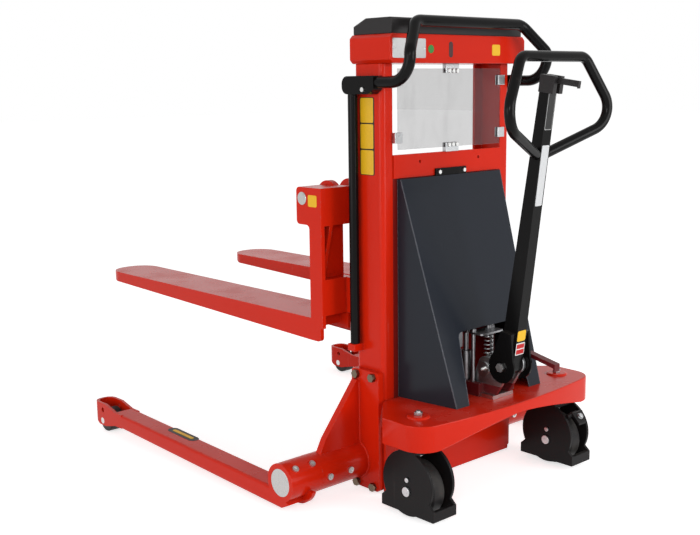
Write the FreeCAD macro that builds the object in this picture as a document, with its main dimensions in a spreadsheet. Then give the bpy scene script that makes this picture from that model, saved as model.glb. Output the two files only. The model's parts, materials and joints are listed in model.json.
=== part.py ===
import FreeCAD, Part
import Sketcher
import math
import os

doc = FreeCAD.newDocument("hand_stacker")
Vec = FreeCAD.Vector

# Driving sizes in millimetres and degrees; x counts from the mast's rear plane, +x to the fork tips
SIZES = {
    "mast_x": -442.0,
    "fit_gap": 0.05,
    "air_gap": 0.4,
    "mast_half_width": 258.0,
    "upright_depth": 106.0,
    "upright_flange": 40.0,
    "upright_wall": 9.0,
    "upright_corner": 14.0,
    "upright_bore_round": 5.0,
    "upright_bottom": 12.0,
    "upright_top": 1168.0,
    "beam_overhang": 12.0,
    "beam_rear": 45.0,
    "beam_front": 109.0,
    "beam_height": 75.0,
    "beam_wall": 6.0,
    "beam_bevel": 10.0,
    "cap_inset": 6.0,
    "cap_height": 41.0,
    "cap_slope_run": 47.0,
    "cap_slope_drop": 20.0,
    "cap_wall": 3.0,
    "window_bottom": 930.0,
    "mid_beam_height": 62.0,
    "mid_beam_rear": 4.0,
    "mid_beam_front": 8.0,
    "mid_hole_radius": 4.5,
    "mid_hole_offset": 119.0,
    "mid_hole_drop": 22.0,
    "screen_side_inset": 12.0,
    "screen_thickness": 4.0,
    "screen_back": 8.0,
    "screen_inset": 13.0,
    "clip_wall": 5.0,
    "clip_half_width": 26.0,
    "clip_grip": 12.0,
    "clip_side_half": 14.0,
    "clip_side_reach": 4.0,
    "clip_side_inset": 44.0,
    "tube_radius": 15.0,
    "tube_wall": 2.5,
    "push_arm_out": 17.0,
    "push_arm_drop": 48.0,
    "push_arm_front": 112.0,
    "push_rear": 120.5,
    "push_shoulder_rise": 77.7,
    "push_top_x": 78.0,
    "push_top_inset": 63.0,
    "push_top_rise": 154.0,
    "push_elbow": 66.0,
    "push_shoulder_bend": 25.0,
    "push_corner_bend": 38.0,
    "push_mount_rear": -4.0,
    "push_mount_front": 117.0,
    "push_mount_drop": 30.0,
    "push_mount_rise": 17.0,
    "push_mount_round": 20.0,
    "push_bolt_x": 34.0,
    "push_bolt_drop": 18.0,
    "post_radius": 13.0,
    "post_x": 93.0,
    "ledge_top": 415.0,
    "ledge_height": 20.0,
    "ledge_rear": 76.0,
    "ledge_out": 34.0,
    "foot_lip": 4.0,
    "foot_low": 6.0,
    "foot_thickness": 10.0,
    "foot_neck_inset": 8.0,
    "back_sheet": 4.0,
    "shelf_half_width": 150.0,
    "shelf_low": 30.0,
    "shelf_height": 18.0,
    "shelf_front": 98.0,
    "pan_top": 267.0,
    "pan_low": 192.0,
    "pan_plate": 8.0,
    "pan_wall": 6.0,
    "pan_rear": 212.0,
    "pan_ear_reach": 46.0,
    "pan_shoulder": 95.0,
    "pan_corner": 48.0,
    "pan_ring_radius": 29.0,
    "pan_ring_height": 5.0,
    "castor_x": 164.5,
    "castor_y": 292.0,
    "castor_radius": 75.0,
    "castor_half_width": 30.0,
    "castor_crown": 12.0,
    "castor_axle_radius": 13.0,
    "cheek_inner": 35.0,
    "cheek_outer": 44.0,
    "cheek_radius": 88.0,
    "cheek_centre_z": 97.0,
    "guard_low": 15.0,
    "guard_half_length": 94.0,
    "guard_height": 28.0,
    "guard_shoulder": 14.0,
    "guard_neck_half": 78.0,
    "guard_wall": 12.0,
    "crown_half": 62.0,
    "crown_height": 10.0,
    "swivel_radius": 34.0,
    "kingpin_radius": 8.0,
    "kingpin_nut": 8.0,
    "kingpin_stub": 4.0,
    "kingpin_head": 10.0,
    "cheek_bolt_radius": 6.5,
    "cheek_bolt_z": 107.5,
    "cheek_bolt_x": -3.0,
    "brake_half_width": 16.0,
    "brake_reach": 96.0,
    "brake_hinge_x": -66.0,
    "brake_hinge_z": 158.0,
    "brake_plate": 6.0,
    "brake_tip_drop": 18.0,
    "flange_thickness": 20.0,
    "flange_low": 8.0,
    "flange_high": 345.0,
    "flange_round": 10.0,
    "bolt_radius": 8.0,
    "bolt_head_radius": 12.0,
    "bolt_head_height": 11.0,
    "bolt_inset_x": 21.0,
    "bolt_low_z": 19.5,
    "bolt_high_z": 331.0,
    "bar_x": 91.0,
    "bar_z": 85.0,
    "bar_radius": 38.0,
    "bar_inset": 4.0,
    "sleeve_radius": 52.0,
    "bracket_gap": 37.0,
    "gusset_back": 16.0,
    "gusset_plate": 20.0,
    "gusset_high": 316.0,
    "gusset_knee_inset": 41.0,
    "gusset_knee_z": 172.0,
    "gusset_foot_inset": 21.0,
    "gusset_foot_z": 134.0,
    "gusset_round": 18.0,
    "screw_radius": 9.0,
    "screw_height": 5.0,
    "screw_socket": 4.5,
    "leg_out": 551.0,
    "leg_width": 69.0,
    "leg_wall": 6.0,
    "leg_rear_x": 60.0,
    "leg_rear_low": 30.0,
    "leg_heel_x": 94.0,
    "leg_heel_low": 13.0,
    "leg_heel_high": 62.0,
    "leg_end_back": 80.0,
    "leg_front_low": 38.0,
    "leg_front_high": 82.5,
    "leg_hollow_start": 160.0,
    "leg_edge_round": 8.0,
    "collar_radius": 70.0,
    "collar_plate": 12.0,
    "collar_top": 60.0,
    "yoke_tail": 120.0,
    "yoke_nose": 57.0,
    "yoke_low": 23.0,
    "yoke_high": 97.0,
    "yoke_wall": 9.0,
    "yoke_round": 30.0,
    "yoke_bevel": 38.0,
    "yoke_throat_back": 20.0,
    "roller_x": 1025.0,
    "roller_radius": 38.0,
    "roller_half_width": 23.0,
    "roller_pin_radius": 10.0,
    "yoke_hole_radius": 8.0,
    "yoke_hole_back": 4.0,
    "yoke_hole_z": 75.0,
    "fork_tip": 1315.0,
    "fork_heel": 200.0,
    "fork_rear": 150.0,
    "fork_offset": 6.0,
    "fork_half_width": 79.0,
    "fork_top": 480.0,
    "fork_heel_depth": 63.0,
    "fork_tip_depth": 32.0,
    "fork_wall": 8.0,
    "fork_tip_round": 74.0,
    "fork_tip_ramp": 159.0,
    "fork_tip_rise": 15.0,
    "fork_plate": 12.0,
    "heel_plate": 22.0,
    "fork_toe_rear": 159.0,
    "shank_low": 455.0,
    "boss_reach": 30.0,
    "boss_front": 253.0,
    "boss_low": 738.0,
    "boss_top": 841.0,
    "boss_round": 12.0,
    "fork_bar_x": 228.0,
    "fork_bar_z": 810.0,
    "fork_bar_radius": 18.0,
    "fork_bar_stub": 2.0,
    "ear_radius": 43.0,
    "ear_thickness": 18.0,
    "lug_inset": 27.0,
    "shank_plate": 17.0,
    "shank_block_low": 490.0,
    "shank_block_high": 590.0,
    "shank_gusset_out": 36.0,
    "shank_gusset_plate": 12.0,
    "shank_gusset_low": 600.0,
    "shank_rib_low": 442.0,
    "shank_rib_plate": 15.0,
    "side_plate_inset": 28.0,
    "side_plate_thickness": 16.0,
    "side_plate_rear": 22.0,
    "side_plate_low": 425.0,
    "side_plate_high": 752.0,
    "cross_rear": 112.0,
    "cross_front": 149.5,
    "upper_cross_low": 742.0,
    "upper_cross_high": 836.0,
    "cross_clearance": 6.0,
    "roller_run_x": 53.0,
    "run_roller_radius": 43.6,
    "run_roller_width": 25.0,
    "run_side_gap": 3.0,
    "run_axle_radius": 15.0,
    "run_upper_z": 705.0,
    "run_lower_z": 470.0,
    "cylinder_x": 58.0,
    "cylinder_radius": 30.0,
    "cylinder_bore": 24.0,
    "cylinder_top": 600.0,
    "cylinder_cap": 26.0,
    "cylinder_foot_radius": 35.2,
    "cylinder_foot_height": 14.0,
    "rod_radius": 18.0,
    "rod_low": 262.0,
    "rod_piston": 30.0,
    "pulley_z": 828.0,
    "pulley_radius": 36.0,
    "pulley_half_width": 9.5,
    "pulley_pin_radius": 9.0,
    "chain_y": 45.0,
    "chain_half_width": 7.0,
    "chain_half_depth": 2.2,
    "chain_lobe": 6.0,
    "chain_pitch": 25.0,
    "chain_anchor_z": 566.0,
    "chain_anchor_height": 16.0,
    "chain_lug_z": 505.0,
    "chain_lug_height": 24.0,
    "chain_lug_half": 14.0,
    "head_half_depth": 20.0,
    "head_half_width": 32.0,
    "head_drop": 26.0,
    "head_rise": 20.0,
    "pivot_x": 228.0,
    "pivot_z": 362.0,
    "tiller_lean": 8.4,
    "tiller_length": 768.0,
    "tiller_low_depth": 48.0,
    "tiller_low_width": 38.0,
    "tiller_high_depth": 28.0,
    "tiller_high_width": 34.0,
    "tiller_skirt": 40.0,
    "tiller_wall": 4.0,
    "tiller_drop": 24.0,
    "axle_radius": 10.0,
    "axle_end": 1.0,
    "ear_inner": 21.0,
    "ear_outer": 31.0,
    "ear_round": 28.0,
    "ear_front": 126.0,
    "ear_rear": 204.0,
    "ear_crown_x": 148.0,
    "ear_crown_z": 378.0,
    "cam_x": 160.0,
    "cam_z": 344.0,
    "cam_radius": 20.0,
    "cam_plate": 3.0,
    "cam_pin_radius": 5.0,
    "cam_pin": 12.0,
    "pump_base_front": 70.0,
    "pump_base_rear": 158.0,
    "pump_base_half": 48.0,
    "pump_base_height": 36.0,
    "pump_foot_half": 42.0,
    "pump_foot_height": 10.0,
    "barrel_x": 150.0,
    "barrel_radius": 18.0,
    "barrel_top": 322.0,
    "plunger_radius": 10.0,
    "plunger_low": 280.0,
    "plunger_head": 9.0,
    "plunger_spigot": 11.0,
    "spigot_radius": 7.5,
    "arm_length": 50.0,
    "arm_drop": 20.0,
    "arm_half_height": 9.0,
    "prong_inner": 9.5,
    "prong_outer": 15.5,
    "press_roller_radius": 12.0,
    "spring_radius": 12.0,
    "spring_wire": 1.7,
    "spring_length": 72.0,
    "spring_turns": 6.0,
    "bridge_half": 46.0,
    "bridge_wall": 5.0,
    "bridge_rear": 166.0,
    "bridge_front": 114.0,
    "bridge_round": 8.0,
    "bridge_rod_x": 128.0,
    "bridge_rod_y": 38.0,
    "bridge_rod_radius": 5.5,
    "bridge_nut_radius": 9.5,
    "bridge_nut": 8.0,
    "bridge_stub": 6.0,
    "bridge_screw": 16.0,
    "cheek_plate_inner": 33.0,
    "cheek_plate_outer": 39.0,
    "cheek_plate_radius": 44.0,
    "cheek_plate_top": 98.0,
    "cheek_plate_neck": 18.0,
    "cheek_spacer_low": 62.0,
    "axle_nut_radius": 13.0,
    "axle_nut": 7.0,
    "loop_radius": 13.5,
    "loop_foot_drop": 191.0,
    "loop_foot_y": 14.0,
    "loop_side_drop": 95.0,
    "loop_side_y": 229.0,
    "loop_bow": 61.0,
    "loop_foot_bow": 2.5,
    "loop_top_bow": 3.5,
    "loop_top_rise": 58.0,
    "loop_top_y": 130.0,
    "loop_side_bend": 60.0,
    "loop_top_bend": 34.0,
    "head_box_drop": 32.0,
    "head_box_rise": 12.0,
    "head_box_front": 16.0,
    "head_box_rear": 30.0,
    "head_box_half": 20.0,
    "lever_rise": 1.0,
    "lever_x": 20.0,
    "lever_reach": 92.0,
    "lever_half": 5.0,
    "lever_plate": 15.0,
    "lever_hook": 3.0,
    "lever_pin_radius": 5.0,
    "lever_slot_half": 6.0,
    "pedal_x": 186.0,
    "pedal_z": 322.0,
    "pedal_y": 66.0,
    "pedal_half": 11.0,
    "pedal_plate": 11.0,
    "pedal_knee_x": 240.0,
    "pedal_knee_z": 379.0,
    "pedal_tip_x": 334.0,
    "pedal_tip_z": 360.0,
    "pedal_lip": 9.0,
    "pedal_pin_radius": 8.0,
    "pedal_lug_radius": 11.0,
    "cover_top_half": 204.0,
    "cover_foot_half": 177.0,
    "cover_foot_rear": 194.0,
    "cover_top": 866.0,
    "cover_top_rear": 14.0,
    "cover_front": 2.0,
    "cover_wall": 3.0,
    "cover_gate_foot": 150.0,
    "cover_gate_head": 110.0,
    "cover_gate_top": 455.0,
    "cover_gate_front": 100.0,
    "valve_x": 94.0,
    "valve_y": 30.0,
    "valve_radius": 16.0,
    "valve_top": 385.0,
    "valve_arm_top": 446.0,
    "valve_arm_low": 388.0,
    "valve_arm_plate": 9.0,
    "valve_arm_half": 10.0,
    "valve_arm_rear": 108.0,
    "valve_arm_front": 64.0,
    "valve_arm_round": 14.0,
    "valve_post_radius": 7.0,
    "hook_half": 62.0,
    "hook_height": 20.0,
    "hook_plate": 6.0,
    "hook_bolt_y": 50.0,
    "small_bolt_radius": 6.0,
    "small_bolt_height": 5.0,
    "pipe_radius": 6.0,
    "pipe_low_z": 284.0,
    "pipe_high_z": 312.0,
    "pipe_bend": 12.0,
    "pipe_step_x": 42.0,
}

sheet = doc.addObject("Spreadsheet::Sheet", "sizes")
for row, (alias, value) in enumerate(SIZES.items(), 1):
    sheet.set("A%d" % row, alias.replace("_", " "))
    sheet.set("B%d" % row, str(value))
    sheet.setAlias("B%d" % row, alias)
doc.recompute()


# A size carries its value and its sheet formula together
class Size:
    def __init__(self, value, text):
        self.value = value
        self.text = text

    def join(self, other, sign, value):
        return Size(value, "(%s %s %s)" % (self.text, sign, size(other).text))

    def __add__(self, other):
        return self.join(other, "+", self.value + size(other).value)

    def __sub__(self, other):
        return self.join(other, "-", self.value - size(other).value)

    def __mul__(self, other):
        return self.join(other, "*", self.value * size(other).value)

    def __truediv__(self, other):
        return self.join(other, "/", self.value / size(other).value)

    def __radd__(self, other):
        return size(other) + self

    def __rsub__(self, other):
        return size(other) - self

    def __rmul__(self, other):
        return size(other) * self

    def __neg__(self):
        return Size(-self.value, "(-1 * %s)" % self.text)


def size(number):
    return number if isinstance(number, Size) else Size(float(number), "%.9f" % number)


class Names:
    pass


S = Names()
for alias in SIZES:
    setattr(S, alias, Size(float(sheet.get(alias)), "sizes." + alias))
ZERO = size(0)
half_share = 0.5

# Places that follow from the driving sizes
S.flange_edge = S.mast_half_width - S.upright_flange
S.web_inner = S.mast_half_width - S.upright_wall
S.beam_half_width = S.mast_half_width + S.beam_overhang
S.screen_half_width = S.flange_edge - S.screen_side_inset
S.push_arm_y = S.mast_half_width + S.push_arm_out
S.push_arm_z = S.upright_top - S.push_arm_drop
S.push_shoulder_z = S.push_arm_z + S.push_shoulder_rise
S.push_top_y = S.push_arm_y - S.push_top_inset
S.push_top_z = S.push_arm_z + S.push_top_rise
S.push_mount_low = S.push_arm_z - S.push_mount_drop
S.push_mount_high = S.push_arm_z + S.push_mount_rise
S.push_mount_out = S.mast_half_width + S.ledge_out
S.push_bolt_z = S.push_arm_z - S.push_bolt_drop
S.foot_half_width = S.mast_half_width + S.foot_lip
S.foot_neck_half = S.mast_half_width - S.foot_neck_inset
S.pan_half_width = S.castor_y + S.pan_ear_reach
S.pan_neck_half = S.foot_half_width
S.bar_start = S.mast_half_width + S.bar_inset
S.leg_in = S.leg_out - S.leg_width
S.bracket_end = S.leg_in - S.bracket_gap
S.gusset_knee_y = S.bracket_end - S.gusset_knee_inset
S.gusset_foot_y = S.bracket_end - S.gusset_foot_inset
S.leg_front_x = S.roller_x - S.leg_end_back
S.yoke_start = S.roller_x - S.yoke_tail
S.yoke_front = S.roller_x + S.yoke_nose
S.yoke_throat = S.roller_x - S.yoke_throat_back
S.yoke_hole_x = S.roller_x - S.yoke_hole_back
S.side_plate_inner = S.flange_edge - S.side_plate_inset
S.lower_cross_half = S.bar_start - S.cross_clearance
S.run_roller_out = S.web_inner - S.run_side_gap
S.run_roller_in = S.run_roller_out - S.run_roller_width
S.axle_half = S.cheek_plate_outer + S.axle_end
S.gusset_rear = S.bar_x - S.gusset_back
S.gusset_front = S.gusset_rear + S.gusset_plate
S.fork_y = S.mast_half_width + S.fork_offset
S.boss_inner = S.fork_y - S.boss_reach
S.fork_bar_end = S.fork_y + S.fork_half_width + S.fork_bar_stub
S.shank_gusset_y = S.fork_y + S.shank_gusset_out
S.lug_y = S.side_plate_inner - S.lug_inset
S.loop_foot_z = S.tiller_length - S.loop_foot_drop
S.loop_side_z = S.tiller_length - S.loop_side_drop
S.loop_top_z = S.tiller_length + S.loop_top_rise
S.head_box_low = S.tiller_length - S.head_box_drop
S.head_box_high = S.tiller_length + S.head_box_rise
S.lever_z = S.tiller_length + S.lever_rise


def sine(angle):
    return Size(math.sin(math.radians(angle.value)), "sin(%s * 1 deg)" % angle.text)


def cosine(angle):
    return Size(math.cos(math.radians(angle.value)), "cos(%s * 1 deg)" % angle.text)


# Plain pieces: boxes and round bars placed by sheet formulas
def at(obj, base, local=False):
    shift = ZERO if local else S.mast_x
    for axis, where in zip("xyz", (base[0] + shift, base[1], base[2])):
        obj.setExpression("Placement.Base." + axis, size(where).text)


def block(name, xs, ys, zs, local=False):
    obj = doc.addObject("Part::Box", name)
    for prop, (low, high) in zip(("Length", "Width", "Height"), (xs, ys, zs)):
        obj.setExpression(prop, (size(high) - size(low)).text)
    at(obj, (size(xs[0]), size(ys[0]), size(zs[0])), local)
    return obj


TURNS = {"x": (Vec(0, 1, 0), 90), "y": (Vec(1, 0, 0), -90), "z": (Vec(0, 0, 1), 0)}


def footing(axis, base, span):
    spots = {"x": (span[0], *base), "y": (base[0], span[0], base[1]), "z": (*base, span[0])}
    return [size(part) for part in spots[axis]]


def rod(name, axis, base, span, radius, local=False):
    obj = doc.addObject("Part::Cylinder", name)
    obj.setExpression("Radius", size(radius).text)
    obj.setExpression("Height", (size(span[1]) - size(span[0])).text)
    obj.Placement = FreeCAD.Placement(Vec(), FreeCAD.Rotation(*TURNS[axis]))
    at(obj, footing(axis, base, span), local)
    return obj


def ring(name, axis, base, span, radius, bore):
    body = rod(name + "_body", axis, base, span, radius)
    return cut(name, body, [rod(name + "_bore", axis, base, span, bore)])


def hexagon(name, axis, base, span, radius):
    obj = doc.addObject("Part::Prism", name)
    obj.Polygon = 6
    obj.setExpression("Circumradius", size(radius).text)
    obj.setExpression("Height", (size(span[1]) - size(span[0])).text)
    obj.Placement = FreeCAD.Placement(Vec(), FreeCAD.Rotation(*TURNS[axis]))
    at(obj, footing(axis, base, span))
    return obj


# Joining, cutting, mirroring and grouping
def fuse(name, pieces):
    obj = doc.addObject("Part::MultiFuse", name)
    obj.Shapes = pieces
    obj.Refine = True
    return obj


def group(name, pieces):
    obj = doc.addObject("Part::Compound", name)
    obj.Links = pieces
    return obj


def cut(name, base, tools):
    tool = tools[0] if len(tools) == 1 else group(name + "_tools", tools)
    obj = doc.addObject("Part::Cut", name)
    obj.Base = base
    obj.Tool = tool
    obj.Refine = True
    return obj


def mirror(name, source):
    obj = doc.addObject("Part::Mirroring", name)
    obj.Source = source
    obj.Normal = Vec(0, 1, 0)
    return obj


# Sketched plates: an outline on an origin plane, padded across a span, with chosen corners rounded
PLANES = {"xy": "XY_Plane", "xz": "XZ_Plane", "yz": "YZ_Plane"}


def on_plane(body, plane, height):
    sketch = body.newObject("Sketcher::SketchObject", body.Name + "_sketch")
    face = [item for item in body.Origin.OriginFeatures if item.Role == PLANES[plane]][0]
    sketch.AttachmentSupport = (face, [""])
    sketch.MapMode = "FlatFace"
    sketch.setExpression("AttachmentOffset.Base.z", size(height).text)
    return sketch


def pin_point(sketch, geometry, end, point):
    for kind, axis, part in zip(("DistanceX", "DistanceY"), (-2, -1), point):
        if abs(part.value) < 1e-9 and part.text == ZERO.text:
            sketch.addConstraint(Sketcher.Constraint("PointOnObject", geometry, end, axis))
        else:
            index = sketch.addConstraint(Sketcher.Constraint(kind, -1, 1, geometry, end, part.value))
            sketch.setExpression("Constraints[%d]" % index, part.text)


def draw(sketch, outline, holes):
    first = 0
    spots = [Vec(u.value, v.value, 0) for u, v in outline]
    for start, end in zip(spots, spots[1:] + spots[:1]):
        sketch.addGeometry(Part.LineSegment(start, end))
    for index in range(len(spots)):
        following = (index + 1) % len(spots)
        sketch.addConstraint(Sketcher.Constraint("Coincident", first + index, 2, first + following, 1))
    for index, point in enumerate(outline):
        pin_point(sketch, first + index, 1, point)
    for u, v, radius in holes:
        number = sketch.addGeometry(Part.Circle(Vec(u.value, v.value, 0), Vec(0, 0, 1), radius.value))
        pin_point(sketch, number, 3, (u, v))
        index = sketch.addConstraint(Sketcher.Constraint("Radius", number, radius.value))
        sketch.setExpression("Constraints[%d]" % index, radius.text)


def shifted(plane, points, local):
    shift = ZERO if local or plane == "yz" else S.mast_x
    return [(size(point[0]) + shift, size(point[1])) + tuple(point[2:]) for point in points]


def plate(name, plane, outline, span, holes=(), rounds=(), local=False):
    body = doc.addObject("PartDesign::Body", name)
    low, high = size(span[0]), size(span[1])
    height = {"xy": low, "xz": -high, "yz": low if local else low + S.mast_x}[plane]
    sketch = on_plane(body, plane, height)
    points = shifted(plane, outline, local)
    draw(sketch, points, shifted(plane, holes, local))
    pad = body.newObject("PartDesign::Pad", name + "_pad")
    pad.Profile = sketch
    pad.setExpression("Length", (high - low).text)
    doc.recompute()
    for radius, corners in rounds:
        soften(body, plane, radius, [points[corner] for corner in corners])
    return body


def soften(body, plane, radius, corners):
    first, second, across = {"xy": (0, 1, 2), "xz": (0, 2, 1), "yz": (1, 2, 0)}[plane]
    names = []
    for number, edge in enumerate(body.Tip.Shape.Edges, 1):
        ends = [vertex.Point for vertex in edge.Vertexes]
        if len(ends) < 2 or abs((ends[1] - ends[0])[across]) < 0.99 * edge.Length:
            continue
        for u, v in corners:
            if abs(ends[0][first] - u.value) < 1e-4 and abs(ends[0][second] - v.value) < 1e-4:
                names.append("Edge%d" % number)
    fillet_edges(body, names, radius)


def soften_long(body, radius, least):
    edges = enumerate(body.Tip.Shape.Edges, 1)
    fillet_edges(body, ["Edge%d" % number for number, edge in edges if edge.Length > least.value], radius)


def fillet_edges(body, names, radius):
    base = body.Tip
    fillet = body.newObject("PartDesign::Fillet", body.Name + "_round")
    fillet.Base = (base, names)
    fillet.setExpression("Radius", radius.text)
    body.Tip = fillet
    doc.recompute()


def rectangle(us, vs):
    return [(us[0], vs[0]), (us[1], vs[0]), (us[1], vs[1]), (us[0], vs[1])]


def loft(name, sections, plane="xy", local=False):
    body = doc.addObject("PartDesign::Body", name)
    sketches = []
    for outline, height in sections:
        sketch = on_plane(body, plane, height)
        draw(sketch, shifted(plane, outline, local), ())
        sketches.append(sketch)
    doc.recompute()
    solid = body.newObject("PartDesign::AdditiveLoft", name + "_loft")
    solid.Profile = sketches[0]
    solid.Sections = sketches[1:]
    solid.Ruled = True
    doc.recompute()
    return body


# Bent tubes: straight runs joined by true arcs, swept with a round section
def bent_wire(points, radii):
    spots = [Vec(*[size(part).value for part in point]) for point in points]
    edges = []
    here = spots[0]
    for index in range(1, len(spots) - 1):
        corner = spots[index]
        back = (spots[index - 1] - corner).normalize()
        ahead = (spots[index + 1] - corner).normalize()
        radius = size(radii[index - 1]).value
        angle = back.getAngle(ahead)
        reach = radius / math.tan(angle * half_share)
        middle = (back + ahead).normalize() * (radius / math.sin(angle * half_share) - radius)
        edges.append(Part.LineSegment(here, corner + back * reach).toShape())
        edges.append(Part.Arc(corner + back * reach, corner + middle, corner + ahead * reach).toShape())
        here = corner + ahead * reach
    edges.append(Part.LineSegment(here, spots[-1]).toShape())
    return Part.Wire(edges)


def swept(wire, radius):
    start = wire.Edges[0]
    along = start.tangentAt(start.FirstParameter)
    section = Part.Wire([Part.makeCircle(radius, start.valueAt(start.FirstParameter), along)])
    return wire.makePipeShell([section], True, True)


def bent_tube(name, points, radii, radius, wall=None, local=False):
    shift = ZERO if local else S.mast_x
    wire = bent_wire([(size(x) + shift, y, z) for x, y, z in points], radii)
    shape = swept(wire, radius.value)
    if wall is not None:
        shape = shape.cut(swept(wire, (radius - wall).value))
    obj = doc.addObject("Part::Feature", name)
    obj.Shape = shape
    return obj


def plain(name, shape):
    obj = doc.addObject("Part::Feature", name)
    obj.Shape = shape
    return obj


NODES = []


def node(obj, label):
    obj.Label = label
    NODES.append((label, obj))
    return obj


def both(make, label):
    left = node(make(label + "_left"), label + "_left")
    node(mirror(label + "_right", left), label + "_right")
    return left


SIDES = (1, -1)


# Mast uprights with the ledge that carries the guard post
flange_edge = S.flange_edge
web_inner = S.web_inner


def make_upright(name):
    rear_inner = S.upright_wall
    front_inner = S.upright_depth - S.upright_wall
    outline = [(ZERO, flange_edge), (ZERO, S.mast_half_width), (S.upright_depth, S.mast_half_width),
               (S.upright_depth, flange_edge), (front_inner, flange_edge), (front_inner, web_inner),
               (rear_inner, web_inner), (rear_inner, flange_edge)]
    rounds = [(S.upright_corner, (1, 2)), (S.upright_bore_round, (5, 6))]
    channel = plate(name + "_channel", "xy", outline, (S.upright_bottom, S.upright_top), rounds=rounds)
    ledge = plate(name + "_ledge", "xz", rectangle((S.ledge_rear, S.upright_depth),
                  (S.ledge_top - S.ledge_height, S.ledge_top)),
                  (S.mast_half_width - S.upright_wall * half_share, S.mast_half_width + S.ledge_out))
    return fuse(name, [channel, ledge])


both(make_upright, "mast_upright")

# Top beam: folded tray between the uprights' heads
beam_top = S.upright_top + S.beam_height


def bevelled(half, low, high, bevel):
    return [(-half, low + bevel), (-half + bevel, low), (half - bevel, low), (half, low + bevel),
            (half, high - bevel), (half - bevel, high), (-half + bevel, high), (-half, high - bevel)]


tray = plate("top_beam_outer", "yz", bevelled(S.beam_half_width, S.upright_top, beam_top, S.beam_bevel),
             (-S.beam_rear, S.beam_front))
tray_half = S.beam_half_width - S.beam_bevel - S.beam_wall
hollow = block("top_beam_hollow", (-S.beam_rear + S.beam_wall, S.beam_front - S.beam_wall),
               (-tray_half, tray_half), (S.upright_top + S.beam_wall, beam_top))
node(cut("top_beam", tray, [hollow]), "top_beam")

# Plastic cap with a sloped front over the beam
cap_rear = -S.beam_rear + S.cap_inset
cap_front = S.beam_front - S.cap_inset
cap_top = beam_top + S.cap_height
cap_half = S.beam_half_width - S.beam_bevel


def cap_outline(wall):
    return [(cap_rear + wall, beam_top), (cap_front - wall, beam_top),
            (cap_front - wall, cap_top - S.cap_slope_drop - wall),
            (cap_front - S.cap_slope_run, cap_top - wall), (cap_rear + wall, cap_top - wall)]


cap_shell = plate("top_cap_outer", "xz", cap_outline(ZERO), (-cap_half, cap_half),
                  rounds=[(S.cap_inset, (3, 4))])
cap_hollow = plate("top_cap_hollow", "xz", cap_outline(S.cap_wall),
                   (S.cap_wall - cap_half, cap_half - S.cap_wall))
node(cut("top_cap", cap_shell, [cap_hollow]), "top_cap")

# Mid beam under the window
mid_low = S.window_bottom - S.mid_beam_height
mid_hole_z = S.window_bottom - S.mid_hole_drop
mid_holes = [(side * S.mid_hole_offset, mid_hole_z, S.mid_hole_radius) for side in SIDES]
node(plate("mid_beam", "yz", rectangle((-flange_edge, flange_edge), (mid_low, S.window_bottom)),
           (-S.mid_beam_rear, S.mid_beam_front), holes=mid_holes), "mid_beam")

# Clear screen in the window, its clamps and side clips
screen_rear = -S.screen_back
screen_front = screen_rear + S.screen_thickness
screen_low = S.window_bottom + S.screen_inset
screen_high = S.upright_top - S.screen_inset
node(block("guard_screen", (screen_rear, screen_front), (-S.screen_half_width, S.screen_half_width),
           (screen_low, screen_high)), "guard_screen")
clip_rear = screen_rear - S.clip_wall
clip_front = screen_front + S.clip_wall


def make_clip(name, ys, zs, slot_ys, slot_zs, front):
    body = block(name + "_body", (clip_rear, front), ys, zs)
    slot = block(name + "_slot", (screen_rear, screen_front), slot_ys, slot_zs)
    return cut(name, body, [slot])


across = (-S.clip_half_width, S.clip_half_width)
clips = [make_clip("clip_top", across, (screen_high - S.clip_grip, S.upright_top),
                   across, (screen_high - S.clip_grip, screen_high), clip_front),
         make_clip("clip_low", across, (S.window_bottom, screen_low + S.clip_grip),
                   across, (screen_low, screen_low + S.clip_grip), clip_front)]
clip_shift = S.clip_side_inset - S.clip_grip
for index, height in enumerate((screen_low + clip_shift, screen_high - clip_shift)):
    zs = (height - S.clip_side_half, height + S.clip_side_half)
    inner = S.screen_half_width - S.clip_grip
    outer = flange_edge + S.clip_side_reach
    clip = make_clip("clip_side_%d" % index, (inner, outer), zs, (inner, S.screen_half_width), zs, ZERO)
    clips += [clip, mirror("clip_far_%d" % index, clip)]
node(group("screen_clamps", clips), "screen_clamps")

# Push bar: one bent tube from the left mount over the mast's rear to the right mount
push_half = [(S.push_arm_front, S.push_arm_y, S.push_arm_z), (-S.push_rear, S.push_arm_y, S.push_arm_z),
             (-S.push_rear, S.push_arm_y, S.push_shoulder_z), (-S.push_top_x, S.push_top_y, S.push_top_z)]
push_points = push_half + [(x, -y, z) for x, y, z in reversed(push_half)]
push_bends = [S.push_elbow, S.push_shoulder_bend, S.push_corner_bend]
push_bends += push_bends[::-1]
node(bent_tube("push_bar", push_points, push_bends, S.tube_radius, S.tube_wall), "push_bar")


def make_push_mount(name):
    chin = S.push_arm_z - S.tube_radius - S.cap_wall
    outline = [(S.push_mount_rear, chin), (S.push_mount_rear + S.push_mount_round, S.push_mount_low),
               (S.push_mount_front, S.push_mount_low), (S.push_mount_front, S.push_mount_high),
               (S.push_mount_rear, S.push_mount_high)]
    body = plate(name + "_body", "xz", outline, (S.mast_half_width, S.push_mount_out),
                 rounds=[(S.push_mount_round, (2, 3))])
    bore = rod(name + "_bore", "x", (S.push_arm_y, S.push_arm_z), (S.push_mount_rear, S.push_arm_front),
               S.tube_radius)
    return cut(name, body, [bore])


push_mount = make_push_mount("push_mount")
node(group("push_bar_mounts", [push_mount, mirror("push_mount_far", push_mount)]), "push_bar_mounts")


def make_post(name):
    return rod(name, "z", (S.post_x, S.push_arm_y), (S.ledge_top, S.push_mount_low), S.post_radius)


both(make_post, "guard_post")

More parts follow.
